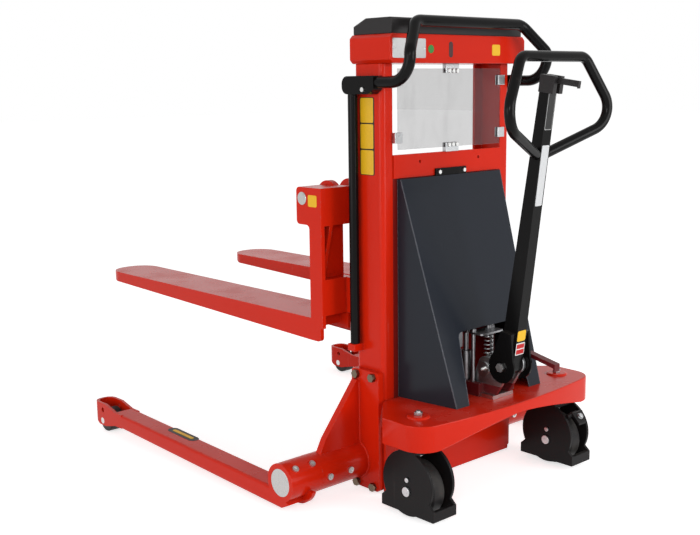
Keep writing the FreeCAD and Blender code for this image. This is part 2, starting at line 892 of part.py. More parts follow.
# Mast foot: rear plate and the shelf that carries the lift cylinder
pan_floor = S.pan_top - S.pan_plate
foot_side = [(S.foot_half_width, S.foot_low), (S.foot_half_width, S.pan_low), (S.foot_neck_half, S.pan_low),
             (S.foot_neck_half, pan_floor)]
foot_outline = foot_side + [(-y, z) for y, z in reversed(foot_side)]
foot_plate = plate("mast_foot_plate", "yz", foot_outline, (-S.foot_thickness, ZERO))
shelf_top = S.shelf_low + S.shelf_height
shelf = block("mast_foot_shelf", (-S.foot_thickness, S.shelf_front),
              (-S.shelf_half_width, S.shelf_half_width), (S.shelf_low, shelf_top))
node(fuse("mast_foot", [foot_plate, shelf]), "mast_foot")

# Closing sheet between the uprights, behind the cover, with a hole for the oil pipe
node(plate("back_plate", "yz", rectangle((-flange_edge, flange_edge), (pan_floor, mid_low)),
           (ZERO, S.back_sheet), holes=[(ZERO, S.pipe_high_z, S.pipe_radius + S.air_gap)]), "back_plate")


# Rear platform: a pan with a deep rim and rounded ears over the castors
def pan_outline(wall, front):
    half = S.pan_half_width - wall
    neck = S.pan_neck_half - wall
    return [(front, -neck), (front, neck), (-S.pan_shoulder, half), (wall - S.pan_rear, half),
            (wall - S.pan_rear, -half), (-S.pan_shoulder, -half)]


def pan_rounds(wall):
    return [(S.pan_corner - wall, (2, 3, 4, 5))]


pan_body = plate("pan_outer", "xy", pan_outline(ZERO, -S.air_gap), (S.pan_low, S.pan_top),
                 rounds=pan_rounds(ZERO))
pan_hollow = plate("pan_hollow", "xy", pan_outline(S.pan_wall, ZERO), (S.pan_low, S.pan_top - S.pan_plate),
                   rounds=pan_rounds(S.pan_wall))
ring_top = S.pan_top + S.pan_ring_height
swivels = [(-S.castor_x, side * S.castor_y) for side in SIDES]
ears = [rod("pan_ear_%d" % index, "z", spot, (S.pan_top, ring_top), S.pan_ring_radius)
        for index, spot in enumerate(swivels)]
pin_holes = [rod("pan_hole_%d" % index, "z", spot, (S.pan_low, ring_top), S.kingpin_radius)
             for index, spot in enumerate(swivels)]
pan_raw = fuse("pan_with_rings", [pan_body] + ears)
node(cut("base_platform", pan_raw, [pan_hollow] + pin_holes), "base_platform")

# Kingpins with nuts, the castors' swivel axles
crown_top = S.cheek_centre_z + S.cheek_radius
kingpin_nut_share = 1.5
kingpin_head_share = 1.8
kingpin_stub_share = 0.75
kingpins = []
for index, spot in enumerate(swivels):
    nut_top = ring_top + S.kingpin_nut
    head_low = crown_top - S.crown_height - S.air_gap - S.kingpin_head
    turned_steps = [("shank", head_low, ring_top, S.kingpin_radius),
                    ("stub", ring_top, nut_top + S.kingpin_stub, S.kingpin_radius * kingpin_stub_share),
                    ("race", crown_top + S.air_gap, pan_floor, S.swivel_radius),
                    ("head", head_low, head_low + S.kingpin_head, S.kingpin_radius * kingpin_head_share)]
    pin = [rod("kingpin_%s_%d" % (step, index), "z", spot, (low, high), radius)
           for step, low, high, radius in turned_steps]
    nut = hexagon("kingpin_nut_%d" % index, "z", spot, (ring_top, nut_top),
                  S.kingpin_radius * kingpin_nut_share)
    kingpins.append(fuse("kingpin_%d" % index, pin + [nut]))
node(group("castor_kingpins", kingpins), "castor_kingpins")


# Castor housing: two round-headed cheeks, a crown and a foot guard at each end
def make_castor_housing(name):
    middle = -S.castor_x
    sides = [(S.cheek_outer, S.cheek_inner), (-S.cheek_inner, -S.cheek_outer)]
    pieces = []
    shoulder = S.guard_low + S.guard_height
    foot_half = [(S.guard_half_length, S.guard_low), (S.guard_half_length, shoulder),
                 (S.guard_neck_half, shoulder + S.guard_shoulder)]
    foot = [(middle + reach, z) for reach, z in foot_half]
    foot += [(middle - reach, z) for reach, z in reversed(foot_half)]
    for index, (high, low) in enumerate(sides):
        span = (S.castor_y + low, S.castor_y + high)
        disc = rod("%s_disc_%d" % (name, index), "y", (middle, S.cheek_centre_z), span, S.cheek_radius)
        pieces += [disc, plate("%s_foot_%d" % (name, index), "xz", foot, span)]
    across = (S.castor_y - S.cheek_outer, S.castor_y + S.cheek_outer)
    guard_reaches = (S.guard_half_length - S.guard_wall, S.guard_half_length)
    for index, side in enumerate(SIDES):
        ends = [middle + side * reach for reach in guard_reaches][::side]
        pieces.append(block("%s_guard_%d" % (name, index), ends, across, (S.guard_low, shoulder)))
    crown_zs = (crown_top - S.crown_height, crown_top)
    crown_reach = S.crown_half * half_share
    crown = block(name + "_crown", (middle - crown_reach, middle + crown_reach), across, crown_zs)
    tools = [rod(name + "_bore", "z", (middle, S.castor_y), crown_zs, S.kingpin_radius + S.fit_gap),
             rod(name + "_axle_hole", "y", (middle, S.castor_radius), across, S.castor_axle_radius)]
    return cut(name, fuse(name + "_raw", pieces + [crown]), tools)


both(make_castor_housing, "castor_housing")


def make_castor_axle(name):
    outer = S.castor_y + S.cheek_outer
    inner = S.castor_y - S.cheek_outer
    across = (inner - S.small_bolt_height, outer + S.small_bolt_height)
    axle = rod(name + "_bar", "y", (-S.castor_x, S.castor_radius), across, S.castor_axle_radius)
    spot = (S.cheek_bolt_x - S.castor_x, S.cheek_bolt_z)
    bolts = [rod(name + "_bolt_out", "y", spot, (outer, outer + S.small_bolt_height), S.cheek_bolt_radius),
             rod(name + "_bolt_in", "y", spot, (inner - S.small_bolt_height, inner), S.cheek_bolt_radius)]
    return group(name, [axle] + bolts)


both(make_castor_axle, "castor_axle")


# Turned wheels: a revolved section with a crowned tread and a bore
def turned(name, middle, spot, half, radius, bore, bevel):
    body = doc.addObject("PartDesign::Body", name)
    sketch = on_plane(body, "yz", spot[0] + S.mast_x)
    low, high = middle - half, middle + half
    face, rim = spot[1] + radius - bevel, spot[1] + radius
    points = [(low, spot[1] + bore), (high, spot[1] + bore), (high, face), (high - bevel, rim),
              (low + bevel, rim), (low, face)]
    draw(sketch, [(size(u), size(v)) for u, v in points], ())
    ends = [Vec(end.value, spot[1].value, 0) for end in (low, high)]
    axis = sketch.addGeometry(Part.LineSegment(*ends), True)
    sketch.addConstraint(Sketcher.Constraint("Horizontal", axis))
    pin_point(sketch, axis, 1, (low, spot[1]))
    index = sketch.addConstraint(Sketcher.Constraint("DistanceX", axis, 1, axis, 2, (high - low).value))
    sketch.setExpression("Constraints[%d]" % index, (high - low).text)
    doc.recompute()
    spin = body.newObject("PartDesign::Revolution", name + "_turn")
    spin.Profile = sketch
    spin.ReferenceAxis = (sketch, ["Axis0"])
    spin.Angle = 360.0
    doc.recompute()
    return body


def make_castor_wheel(name):
    return turned(name, S.castor_y, (-S.castor_x, S.castor_radius), S.castor_half_width, S.castor_radius,
                  S.castor_axle_radius + S.fit_gap, S.castor_crown)


both(make_castor_wheel, "castor_wheel")

# Brake pedal at the right castor's rear
brake_x = S.brake_hinge_x - S.castor_x
brake_low = S.brake_hinge_z - S.brake_plate
brake_high = S.brake_hinge_z + S.brake_plate
brake_tip = S.brake_hinge_z - S.brake_tip_drop
brake_outline = [(brake_x - S.brake_plate, brake_low), (brake_x + S.brake_plate, brake_low),
                 (brake_x + S.brake_plate, brake_high), (brake_x - S.brake_plate, brake_high),
                 (-S.castor_x - S.brake_reach, brake_tip),
                 (-S.castor_x - S.brake_reach, brake_tip - S.brake_plate)]
brake_ys = (-S.castor_y - S.brake_half_width, -S.castor_y + S.brake_half_width)
brake_plate = plate("castor_brake_plate", "xz", brake_outline, brake_ys)
brake_pin_half = S.cheek_inner - S.air_gap
brake_pin = rod("castor_brake_pin", "y", (brake_x, S.brake_hinge_z),
                (-S.castor_y - brake_pin_half, -S.castor_y + brake_pin_half), S.small_bolt_radius)
node(fuse("castor_brake", [brake_plate, brake_pin]), "castor_brake")

# Leg bracket: bolted flange, gusset and clamp tube for the straddle bar
flange_out = S.mast_half_width + S.flange_thickness
bolt_xs = (S.bolt_inset_x, S.upright_depth - S.bolt_inset_x)
bolt_zs = (S.bolt_low_z, S.bolt_high_z)
bolt_spots = [(x, z) for x in bolt_xs for z in bolt_zs]


def make_leg_bracket(name):
    flange = plate(name + "_flange", "xz", rectangle((ZERO, S.upright_depth), (S.flange_low, S.flange_high)),
                   (S.mast_half_width, flange_out), holes=[(x, z, S.bolt_radius) for x, z in bolt_spots],
                   rounds=[(S.flange_round, (0, 1, 2, 3))])
    outline = [(flange_out, S.bar_z), (S.gusset_foot_y, S.bar_z), (S.gusset_foot_y, S.gusset_foot_z),
               (S.gusset_knee_y, S.gusset_knee_z), (flange_out + S.flange_round, S.gusset_high),
               (flange_out, S.gusset_high)]
    gusset = plate(name + "_gusset", "yz", outline, (S.gusset_rear, S.gusset_front),
                   rounds=[(S.gusset_round, (2, 3))])
    tube = rod(name + "_tube", "y", (S.bar_x, S.bar_z), (flange_out, S.bracket_end), S.sleeve_radius)
    bore = rod(name + "_bore", "y", (S.bar_x, S.bar_z), (S.mast_half_width, S.bracket_end),
               S.bar_radius + S.fit_gap)
    return cut(name, fuse(name + "_raw", [flange, gusset, tube]), [bore])


both(make_leg_bracket, "leg_bracket")


# Straddle bar, held in the leg's sleeve and sliding in the bracket
def make_straddle_bar(name):
    return rod(name, "y", (S.bar_x, S.bar_z), (S.bar_start, S.leg_out), S.bar_radius)


both(make_straddle_bar, "straddle_bar")

# Straddle leg: sleeve, hollow beam and the open yoke for the load roller
leg_in = S.leg_in
leg_mid = S.leg_out - S.leg_width * half_share


def make_leg(name):
    sleeve = rod(name + "_sleeve", "y", (S.bar_x, S.bar_z), (S.bracket_end + S.air_gap, S.leg_out),
                 S.sleeve_radius)
    beam_outline = [(S.leg_rear_x, S.leg_rear_low), (S.leg_heel_x, S.leg_heel_low),
                    (S.leg_front_x, S.leg_front_low), (S.leg_front_x, S.leg_front_high),
                    (S.leg_heel_x, S.leg_heel_high)]
    beam = plate(name + "_beam", "xz", beam_outline, (leg_in, S.leg_out))
    soften_long(beam, S.leg_edge_round, (S.leg_front_x - S.leg_heel_x) * half_share)
    wall = S.leg_wall
    hollow_outline = [(S.leg_hollow_start, S.leg_heel_low + wall), (S.leg_front_x, S.leg_front_low + wall),
                      (S.leg_front_x, S.leg_front_high - wall), (S.leg_hollow_start, S.leg_heel_high - wall)]
    hollow = plate(name + "_hollow", "xz", hollow_outline, (leg_in + wall, S.leg_out - wall))
    band = S.yoke_wall
    yoke_outline = [(S.yoke_start, leg_in), (S.yoke_front, leg_in), (S.yoke_front, S.leg_out),
                    (S.yoke_start, S.leg_out), (S.yoke_start, S.leg_out - band),
                    (S.yoke_front - band, S.leg_out - band), (S.yoke_front - band, leg_in + band),
                    (S.yoke_start, leg_in + band)]
    yoke = plate(name + "_yoke", "xy", yoke_outline, (S.yoke_low, S.yoke_high),
                 rounds=[(S.yoke_round, (1, 2)), (S.yoke_round - band, (5, 6))])
    span = (leg_in, S.leg_out)
    bevel = [(S.yoke_front - S.yoke_bevel, ZERO), (S.yoke_front + S.yoke_bevel, ZERO),
             (S.yoke_front + S.yoke_bevel, S.yoke_low + S.yoke_bevel),
             (S.yoke_front, S.yoke_low + S.yoke_bevel * half_share),
             (S.yoke_front - S.yoke_bevel, S.yoke_low)]
    ramp = [(S.yoke_start, S.yoke_high), (S.yoke_start, S.leg_front_high), (S.leg_front_x, S.leg_front_high),
            (S.yoke_throat, S.yoke_high)]
    heel = [(S.yoke_start, ZERO), (S.yoke_throat, ZERO), (S.yoke_throat, S.yoke_low),
            (S.leg_front_x, S.leg_front_low), (S.yoke_start, S.leg_front_low)]
    trims = [plate("%s_%s" % (name, trim), "xz", outline, span)
             for trim, outline in (("bevel", bevel), ("ramp", ramp), ("heel", heel))]
    yoke = cut(name + "_yoke_cut", yoke, trims)
    tools = [hollow,
             rod(name + "_bore", "y", (S.bar_x, S.bar_z), (S.bracket_end, S.leg_out), S.bar_radius),
             rod(name + "_pin_hole", "y", (S.roller_x, S.roller_radius), span, S.roller_pin_radius),
             rod(name + "_spare_hole", "y", (S.yoke_hole_x, S.yoke_hole_z), span, S.yoke_hole_radius)]
    collar_span = (leg_in, leg_in + S.collar_plate)
    disc = rod(name + "_disc", "y", (S.bar_x, S.bar_z), collar_span, S.collar_radius)
    upper_half = block(name + "_disc_trim", (S.bar_x - S.collar_radius, S.bar_x + S.collar_radius), collar_span,
                       (S.collar_top, S.bar_z + S.collar_radius))
    collar = cut(name + "_collar", disc, [upper_half])
    return cut(name, fuse(name + "_raw", [sleeve, beam, yoke, collar]), tools)


both(make_leg, "leg")


# Socket screws that stand on a round tube, at an angle from straight up towards the rear
def tube_screw(name, angle, y):
    lift = FreeCAD.Rotation(Vec(0, 1, 0), -angle)
    body = doc.addObject("Part::Cylinder", name + "_head")
    socket = doc.addObject("Part::Cylinder", name + "_socket")
    half_angle = math.degrees(math.asin(S.screw_radius.value / S.sleeve_radius.value))
    flat = S.sleeve_radius * cosine(size(half_angle))
    body.setExpression("Radius", S.screw_radius.text)
    body.setExpression("Height", (S.sleeve_radius - flat + S.screw_height).text)
    socket.setExpression("Radius", S.screw_socket.text)
    socket.setExpression("Height", S.screw_height.text)
    up = lift.multVec(Vec(0, 0, 1))
    for item, reach in ((body, flat), (socket, S.sleeve_radius + S.screw_height * half_share)):
        item.Placement = FreeCAD.Placement(Vec(), lift)
        at(item, (S.bar_x + reach * up.x, y, S.bar_z + reach * up.z))
    tube = rod(name + "_tube", "y", (S.bar_x, S.bar_z), (y - S.screw_radius, y + S.screw_radius),
               S.sleeve_radius)
    return cut(name, body, [socket, tube])


sleeve_screw_angle = 40
bracket_screw_angle = 92
sleeve_screw_shares = (0.22, 0.76)
bracket_screw_shares = (0.42, 0.86)


def make_leg_fasteners(name):
    length = S.leg_out - S.bracket_end
    screws = [tube_screw("%s_%d" % (name, index), sleeve_screw_angle, S.bracket_end + share * length)
              for index, share in enumerate(sleeve_screw_shares)]
    pin = rod(name + "_pin", "y", (S.roller_x, S.roller_radius), (leg_in, S.leg_out), S.roller_pin_radius)
    return group(name, screws + [pin])


both(make_leg_fasteners, "leg_fasteners")


def make_load_roller(name):
    return turned(name, leg_mid, (S.roller_x, S.roller_radius), S.roller_half_width, S.roller_radius,
                  S.roller_pin_radius + S.fit_gap, S.screw_height * half_share)


both(make_load_roller, "load_roller")

# Fork: folded channel blade, cheek, shank plate, lower block, gusset and the boss on the fork bar
fork_out = S.fork_y + S.fork_half_width
fork_in = S.fork_y - S.fork_half_width


def make_fork(name):
    heel_low = S.fork_top - S.fork_heel_depth
    tip_low = S.fork_top - S.fork_tip_depth
    blade_outline = [(S.fork_heel, heel_low), (S.fork_tip, tip_low), (S.fork_tip, S.fork_top),
                     (S.fork_heel, S.fork_top)]
    blade = plate(name + "_blade", "xz", blade_outline, (fork_in, fork_out))
    tip_x = (S.fork_tip + S.mast_x).value
    corners = ["Edge%d" % number for number, edge in enumerate(blade.Tip.Shape.Edges, 1)
               if math.isclose(edge.BoundBox.XMin, tip_x) and edge.BoundBox.ZLength > S.fork_wall.value]
    fillet_edges(blade, corners, S.fork_tip_round)
    wall = S.fork_wall
    hollow_end = S.fork_tip - S.fork_tip_round
    hollow = block(name + "_hollow", (S.fork_heel, hollow_end), (fork_in + wall, fork_out - wall),
                   (heel_low, S.fork_top - wall))
    cheek_outline = [(S.fork_toe_rear, heel_low), (S.fork_heel, heel_low), (S.fork_heel, S.boss_low),
                     (S.boss_front, S.boss_low), (S.boss_front, S.boss_top), (S.fork_rear, S.boss_top),
                     (S.fork_rear, S.shank_low), (S.fork_toe_rear, S.shank_low)]
    cheek = plate(name + "_cheek", "xz", cheek_outline, (fork_out - S.fork_plate, fork_out),
                  rounds=[(S.boss_round, (0, 2, 3, 4))])
    boss_outline = rectangle((S.fork_rear, S.boss_front), (S.boss_low, S.boss_top))
    boss = plate(name + "_boss", "xz", boss_outline, (S.boss_inner, fork_out - S.fork_plate * half_share),
                 rounds=[(S.boss_round, (1, 2))])
    inner_span = (S.boss_inner, fork_out - S.fork_plate * half_share)
    shank = block(name + "_shank", (S.fork_heel - S.shank_plate, S.fork_heel), inner_span,
                  (S.shank_low, S.boss_low))
    low_block = block(name + "_low", (S.fork_rear, S.fork_heel), inner_span,
                      (S.shank_block_low, S.shank_block_high))
    rib = block(name + "_rib", (S.fork_rear, S.fork_heel), (S.boss_inner, S.boss_inner + S.shank_rib_plate),
                (S.shank_rib_low, S.shank_block_low))
    heel = block(name + "_heel", (S.fork_heel - S.shank_plate, S.fork_heel + S.heel_plate),
                 (fork_in, fork_out), (S.shank_low, S.fork_top))
    shank_mid = S.fork_heel - S.shank_plate * half_share
    gusset_outline = [(S.fork_rear, S.boss_low), (S.fork_heel - S.shank_plate, S.shank_gusset_low),
                      (shank_mid, S.shank_gusset_low), (shank_mid, S.boss_low)]
    gusset = plate(name + "_gusset", "xz", gusset_outline,
                   (S.shank_gusset_y, S.shank_gusset_y + S.shank_gusset_plate))
    bar_spot = (S.fork_bar_x, S.fork_bar_z)
    ear = rod(name + "_ear", "y", bar_spot, (S.boss_inner, S.boss_inner + S.ear_thickness), S.ear_radius)
    bore = rod(name + "_bore", "y", bar_spot, (S.boss_inner, fork_out), S.fork_bar_radius + S.fit_gap)
    ramp_outline = [(S.fork_tip - S.fork_tip_ramp, heel_low), (S.fork_tip, heel_low),
                    (S.fork_tip, tip_low + S.fork_tip_rise)]
    ramp = plate(name + "_tip_ramp", "xz", ramp_outline, (fork_in, fork_out))
    channel = cut(name + "_channel", blade, [hollow, ramp])
    body = fuse(name + "_raw", [channel, cheek, boss, shank, low_block, rib, heel, gusset, ear])
    return cut(name, body, [bore])


both(make_fork, "fork")

# Carriage frame between the uprights, with lugs for the fork bar and stubs for the mast rollers
lug_half = S.ear_thickness * half_share
carriage = []
for index, side in enumerate(SIDES):
    inner = side * S.side_plate_inner
    outer = side * (S.side_plate_inner + S.side_plate_thickness)
    span = (inner, outer) if side > 0 else (outer, inner)
    outline = [(S.side_plate_rear, S.side_plate_low), (S.cross_rear, S.side_plate_low),
               (S.cross_front, S.shank_block_low), (S.cross_front, S.upper_cross_high),
               (S.cross_rear, S.upper_cross_high), (S.cross_rear, S.side_plate_high),
               (S.side_plate_rear, S.side_plate_high)]
    carriage.append(plate("carriage_side_%d" % index, "xz", outline, span))
    lug_span = (side * S.lug_y - lug_half, side * S.lug_y + lug_half)
    carriage.append(rod("carriage_ear_%d" % index, "y", (S.fork_bar_x, S.fork_bar_z), lug_span, S.ear_radius))
    carriage.append(block("carriage_lug_%d" % index, (S.cross_rear, S.fork_bar_x), lug_span,
                          (S.upper_cross_low, S.boss_top)))
    chain_span = (side * S.chain_y - S.chain_lug_half, side * S.chain_y + S.chain_lug_half)
    chain_x = S.cylinder_x + S.pulley_radius
    carriage.append(block("carriage_chain_lug_%d" % index, (chain_x - S.chain_lobe, S.cross_rear), chain_span,
                          (S.chain_lug_z, S.chain_lug_z + S.chain_lug_height)))
    for level, height in enumerate((S.run_upper_z, S.run_lower_z)):
        stub = (S.side_plate_inner, S.run_roller_out)
        stub = stub if side > 0 else (-stub[1], -stub[0])
        carriage.append(rod("carriage_stub_%d_%d" % (index, level), "y", (S.roller_run_x, height), stub,
                            S.run_axle_radius))
full = (-S.side_plate_inner - S.side_plate_thickness, S.side_plate_inner + S.side_plate_thickness)
lower_full = (-S.lower_cross_half, S.lower_cross_half)
cross_xs = (S.cross_rear, S.cross_front)
carriage.append(block("carriage_upper", cross_xs, full, (S.upper_cross_low, S.upper_cross_high)))
carriage.append(block("carriage_lower", cross_xs, lower_full, (S.shank_block_low, S.shank_block_high)))
carriage_raw = fuse("carriage_raw", carriage)
bar_spot = (S.fork_bar_x, S.fork_bar_z)
bar_span = (-S.fork_bar_end, S.fork_bar_end)
bar_hole = rod("carriage_bar_hole", "y", bar_spot, bar_span, S.fork_bar_radius)
node(cut("carriage_frame", carriage_raw, [bar_hole]), "carriage_frame")
node(rod("fork_bar", "y", bar_spot, bar_span, S.fork_bar_radius), "fork_bar")
for label, height in (("mast_rollers_upper", S.run_upper_z), ("mast_rollers_lower", S.run_lower_z)):
    middle = (S.run_roller_in + S.run_roller_out) * half_share
    half = (S.run_roller_out - S.run_roller_in) * half_share
    roller = turned(label + "_near", middle, (S.roller_run_x, height), half, S.run_roller_radius,
                    S.run_axle_radius + S.fit_gap, S.screw_height * half_share)
    node(group(label, [roller, mirror(label + "_far", roller)]), label)

# Lift cylinder on its foot, with the collar that anchors the fixed chain ends
spot = (S.cylinder_x, ZERO)
tube = rod("cylinder_tube", "z", spot, (shelf_top, S.cylinder_top), S.cylinder_radius)
bore_low = shelf_top + S.cylinder_foot_height
bore_high = S.cylinder_top - S.cylinder_cap
foot = rod("cylinder_foot", "z", spot, (shelf_top, bore_low), S.cylinder_foot_radius)
gland = rod("cylinder_gland", "z", spot, (bore_high, S.cylinder_top), S.cylinder_radius + S.cap_wall)
rear_run_x = S.cylinder_x - S.pulley_radius
anchor = block("cylinder_anchor", (rear_run_x - S.chain_lobe, S.cylinder_x),
               (-S.chain_y - S.chain_lug_half, S.chain_y + S.chain_lug_half),
               (S.chain_anchor_z, S.chain_anchor_z + S.chain_anchor_height))
inside = rod("cylinder_inside", "z", spot, (bore_low, bore_high), S.cylinder_bore)
throat = rod("cylinder_throat", "z", spot, (bore_low, S.cylinder_top), S.rod_radius + S.fit_gap)
cylinder_raw = fuse("cylinder_raw", [tube, foot, gland, anchor])
node(cut("lift_cylinder", cylinder_raw, [inside, throat]), "lift_cylinder")

# Piston rod, crosshead and pulleys
head_low = S.pulley_z - S.head_drop
stem = rod("piston_stem", "z", spot, (S.rod_low, head_low), S.rod_radius)
piston = rod("piston_disc", "z", spot, (S.rod_low, S.rod_low + S.rod_piston), S.cylinder_bore - S.fit_gap)
node(fuse("piston_rod", [stem, piston]), "piston_rod")
head_block = block("head_block", (S.cylinder_x - S.head_half_depth, S.cylinder_x + S.head_half_depth),
                   (-S.head_half_width, S.head_half_width), (head_low, S.pulley_z + S.head_rise))
head_pin_half = S.chain_y + S.pulley_half_width + S.cap_wall
head_pin = rod("head_pin", "y", (S.cylinder_x, S.pulley_z), (-head_pin_half, head_pin_half),
               S.pulley_pin_radius)
node(fuse("chain_head", [head_block, head_pin]), "chain_head")


pulley = turned("pulley", S.chain_y, (S.cylinder_x, S.pulley_z), S.pulley_half_width,
                S.pulley_radius - S.chain_half_depth - S.air_gap, S.pulley_pin_radius + S.fit_gap,
                S.screw_height * half_share)
node(group("chain_pulleys", [pulley, mirror("pulley_far", pulley)]), "chain_pulleys")


# Leaf chain: link plates with round pin lobes in a row, and an arc of links over the pulley
def chain_row(name, x, low, high):
    count = max(2, int(round((high.value - low.value) / S.chain_pitch.value)))
    step = (high - low) / count
    strip = block(name + "_strip", (x - S.chain_half_depth, x + S.chain_half_depth),
                  (S.chain_y - S.chain_half_width, S.chain_y + S.chain_half_width), (low, high))
    reach = S.chain_half_width + S.cap_wall * half_share
    lobes = [rod("%s_pin_%d" % (name, index), "y", (x, low + step * (index + half_share)),
                 (S.chain_y - reach, S.chain_y + reach), S.chain_lobe * half_share) for index in range(count)]
    row = fuse(name + "_row", [strip] + lobes)
    return group(name, [row, mirror(name + "_far", row)])


front_run_x = S.cylinder_x + S.pulley_radius
anchor_top = S.chain_anchor_z + S.chain_anchor_height
lug_top = S.chain_lug_z + S.chain_lug_height
node(chain_row("chain_fixed_run", rear_run_x, anchor_top, S.pulley_z), "chain_fixed_run")
node(chain_row("chain_carriage_run", front_run_x, lug_top, S.pulley_z), "chain_carriage_run")
chain_ys = (S.chain_y - S.chain_half_width, S.chain_y + S.chain_half_width)
wrap_ring = ring("wrap_ring", "y", (S.cylinder_x, S.pulley_z), chain_ys,
                 S.pulley_radius + S.chain_half_depth, S.pulley_radius - S.chain_half_depth)
wrap_reach = S.pulley_radius + S.chain_lobe
wrap_low = block("wrap_low", (S.cylinder_x - wrap_reach, S.cylinder_x + wrap_reach), chain_ys,
                 (S.pulley_z - wrap_reach, S.pulley_z))
wrap = cut("wrap_half", wrap_ring, [wrap_low])
node(group("chain_wrap", [wrap, mirror("wrap_half_far", wrap)]), "chain_wrap")

# Pump body: base block, pivot ears that stand on the foot plate, the plunger's barrel and the pedal's lug
pump_low = S.pan_top
pump_top = S.pan_top + S.pump_base_height
foot_top = S.pan_top + S.pump_foot_height
pivot_spot = (-S.pivot_x, S.pivot_z)
pump_pieces = [block("pump_base", (-S.pump_base_rear, -S.pump_base_front),
                     (-S.pump_base_half, S.pump_base_half), (pump_low, pump_top)),
               rod("pump_barrel", "z", (-S.barrel_x, ZERO), (foot_top, S.barrel_top), S.barrel_radius)]
ear_outline = [(-S.ear_rear, foot_top), (-S.ear_front, foot_top), (-S.ear_front, S.barrel_top),
               (-S.ear_crown_x, S.ear_crown_z), (-S.pivot_x + S.ear_round, S.ear_crown_z),
               (-S.pivot_x - S.ear_round, S.pivot_z)]
for index, side in enumerate(SIDES):
    span = (S.ear_inner, S.ear_outer) if side > 0 else (-S.ear_outer, -S.ear_inner)
    pump_pieces.append(plate("pump_ear_%d" % index, "xz", ear_outline, span,
                             rounds=[(S.gusset_round, (2, 3))]))
    pump_pieces.append(rod("pump_boss_%d" % index, "y", pivot_spot, span, S.ear_round))
pedal_spot = (-S.pedal_x, S.pedal_z)
pedal_span = (-S.pedal_y - S.pedal_half, -S.pedal_y + S.pedal_half)
lug_span = (pedal_span[1] + S.air_gap, -S.ear_inner)
pedal_root, pedal_heel = -S.pedal_x + S.pedal_lug_radius, -S.pedal_x - S.pedal_lug_radius
pin_span = (pedal_span[0] - S.bridge_wall, lug_span[0] + S.bridge_wall)
pump_pieces += [block("pump_pedal_arm", (pedal_heel, pedal_root), lug_span, (foot_top, S.pedal_z)),
                rod("pump_pedal_lug", "y", pedal_spot, lug_span, S.pedal_lug_radius),
                rod("pump_pedal_pin", "y", pedal_spot, pin_span, S.pedal_pin_radius)]
pump_tools = [rod("pump_axle_hole", "y", pivot_spot, (-S.ear_outer, S.ear_outer), S.axle_radius),
              rod("pump_plunger_bore", "z", (-S.barrel_x, ZERO), (S.plunger_low, S.barrel_top),
                  S.plunger_radius + S.fit_gap)]
node(cut("pump_body", fuse("pump_raw", pump_pieces), pump_tools), "pump_body")

# Plunger lifted by the tiller's press roller, with its return spring under the zinc bridge
arm_x = -S.pivot_x + S.arm_length * cosine(S.arm_drop)
arm_z = S.pivot_z - S.arm_length * sine(S.arm_drop)
plunger_head_low = arm_z + S.press_roller_radius + S.air_gap
plunger_head_top = plunger_head_low + S.plunger_head
barrel_spot = (-S.barrel_x, ZERO)
spigot_top = plunger_head_top + S.plunger_spigot
head_half = S.prong_inner - S.air_gap
stem_span = (S.plunger_low + S.air_gap, plunger_head_low)
head_span = (plunger_head_low, plunger_head_top)
plunger = [rod("plunger_stem", "z", barrel_spot, stem_span, S.plunger_radius),
           block("plunger_plate", (arm_x - S.press_roller_radius, -S.barrel_x + S.plunger_radius),
                 (-head_half, head_half), head_span),
           rod("plunger_disc", "z", barrel_spot, head_span, S.spring_radius + S.cap_wall),
           rod("plunger_spigot", "z", barrel_spot, (plunger_head_top, spigot_top), S.spigot_radius)]
node(fuse("pump_plunger", plunger), "pump_plunger")

# Spring bridge: a plate on two threaded rods, with nuts and a setting screw
bridge_low = plunger_head_top + S.spring_length
bridge_top = bridge_low + S.bridge_wall
bridge_nut_top = bridge_top + S.bridge_nut
bridge_outline = rectangle((-S.bridge_rear, -S.bridge_front), (-S.bridge_half, S.bridge_half))
bridge_spigot_low = bridge_low - S.plunger_spigot
bridge_screw_top = bridge_top + S.bridge_screw
bridge = [plate("bridge_plate", "xy", bridge_outline, (bridge_low, bridge_top),
                rounds=[(S.bridge_round, (0, 1, 2, 3))]),
          rod("bridge_spigot", "z", barrel_spot, (bridge_spigot_low, bridge_low), S.spigot_radius),
          rod("bridge_screw", "z", barrel_spot, (bridge_top, bridge_screw_top), S.bridge_rod_radius),
          hexagon("bridge_screw_nut", "z", barrel_spot, (bridge_top, bridge_nut_top), S.bridge_nut_radius)]
for index, side in enumerate(SIDES):
    spot = (-S.bridge_rod_x, side * S.bridge_rod_y)
    bridge.append(rod("bridge_rod_%d" % index, "z", spot, (pump_top, bridge_nut_top + S.bridge_stub),
                      S.bridge_rod_radius))
    bridge.append(hexagon("bridge_nut_%d" % index, "z", spot, (bridge_top, bridge_nut_top),
                          S.bridge_nut_radius))
node(fuse("spring_bridge", bridge), "spring_bridge")


# Helical spring: one unbroken wire on biarcs of a quarter turn
def arc_edge(start, corner, end):
    chord = (start + end) * half_share
    reach = (corner - start).Length
    radius = reach * (start - chord).Length / (corner - chord).Length
    away = math.hypot(radius, reach) - radius
    return Part.Arc(start, corner + (chord - corner).normalize() * away, end).toShape()


def biarc(start, along, end, onward):
    span = end - start
    total = along + onward
    a = 2 * (1 - along.dot(onward))
    b = 2 * span.dot(total)
    reach = (math.sqrt(b * b + 4 * a * span.dot(span)) - b) / (2 * a)
    first = start + along * reach
    second = end - onward * reach
    middle = (first + second) * half_share
    return [arc_edge(start, first, middle), arc_edge(middle, second, end)]


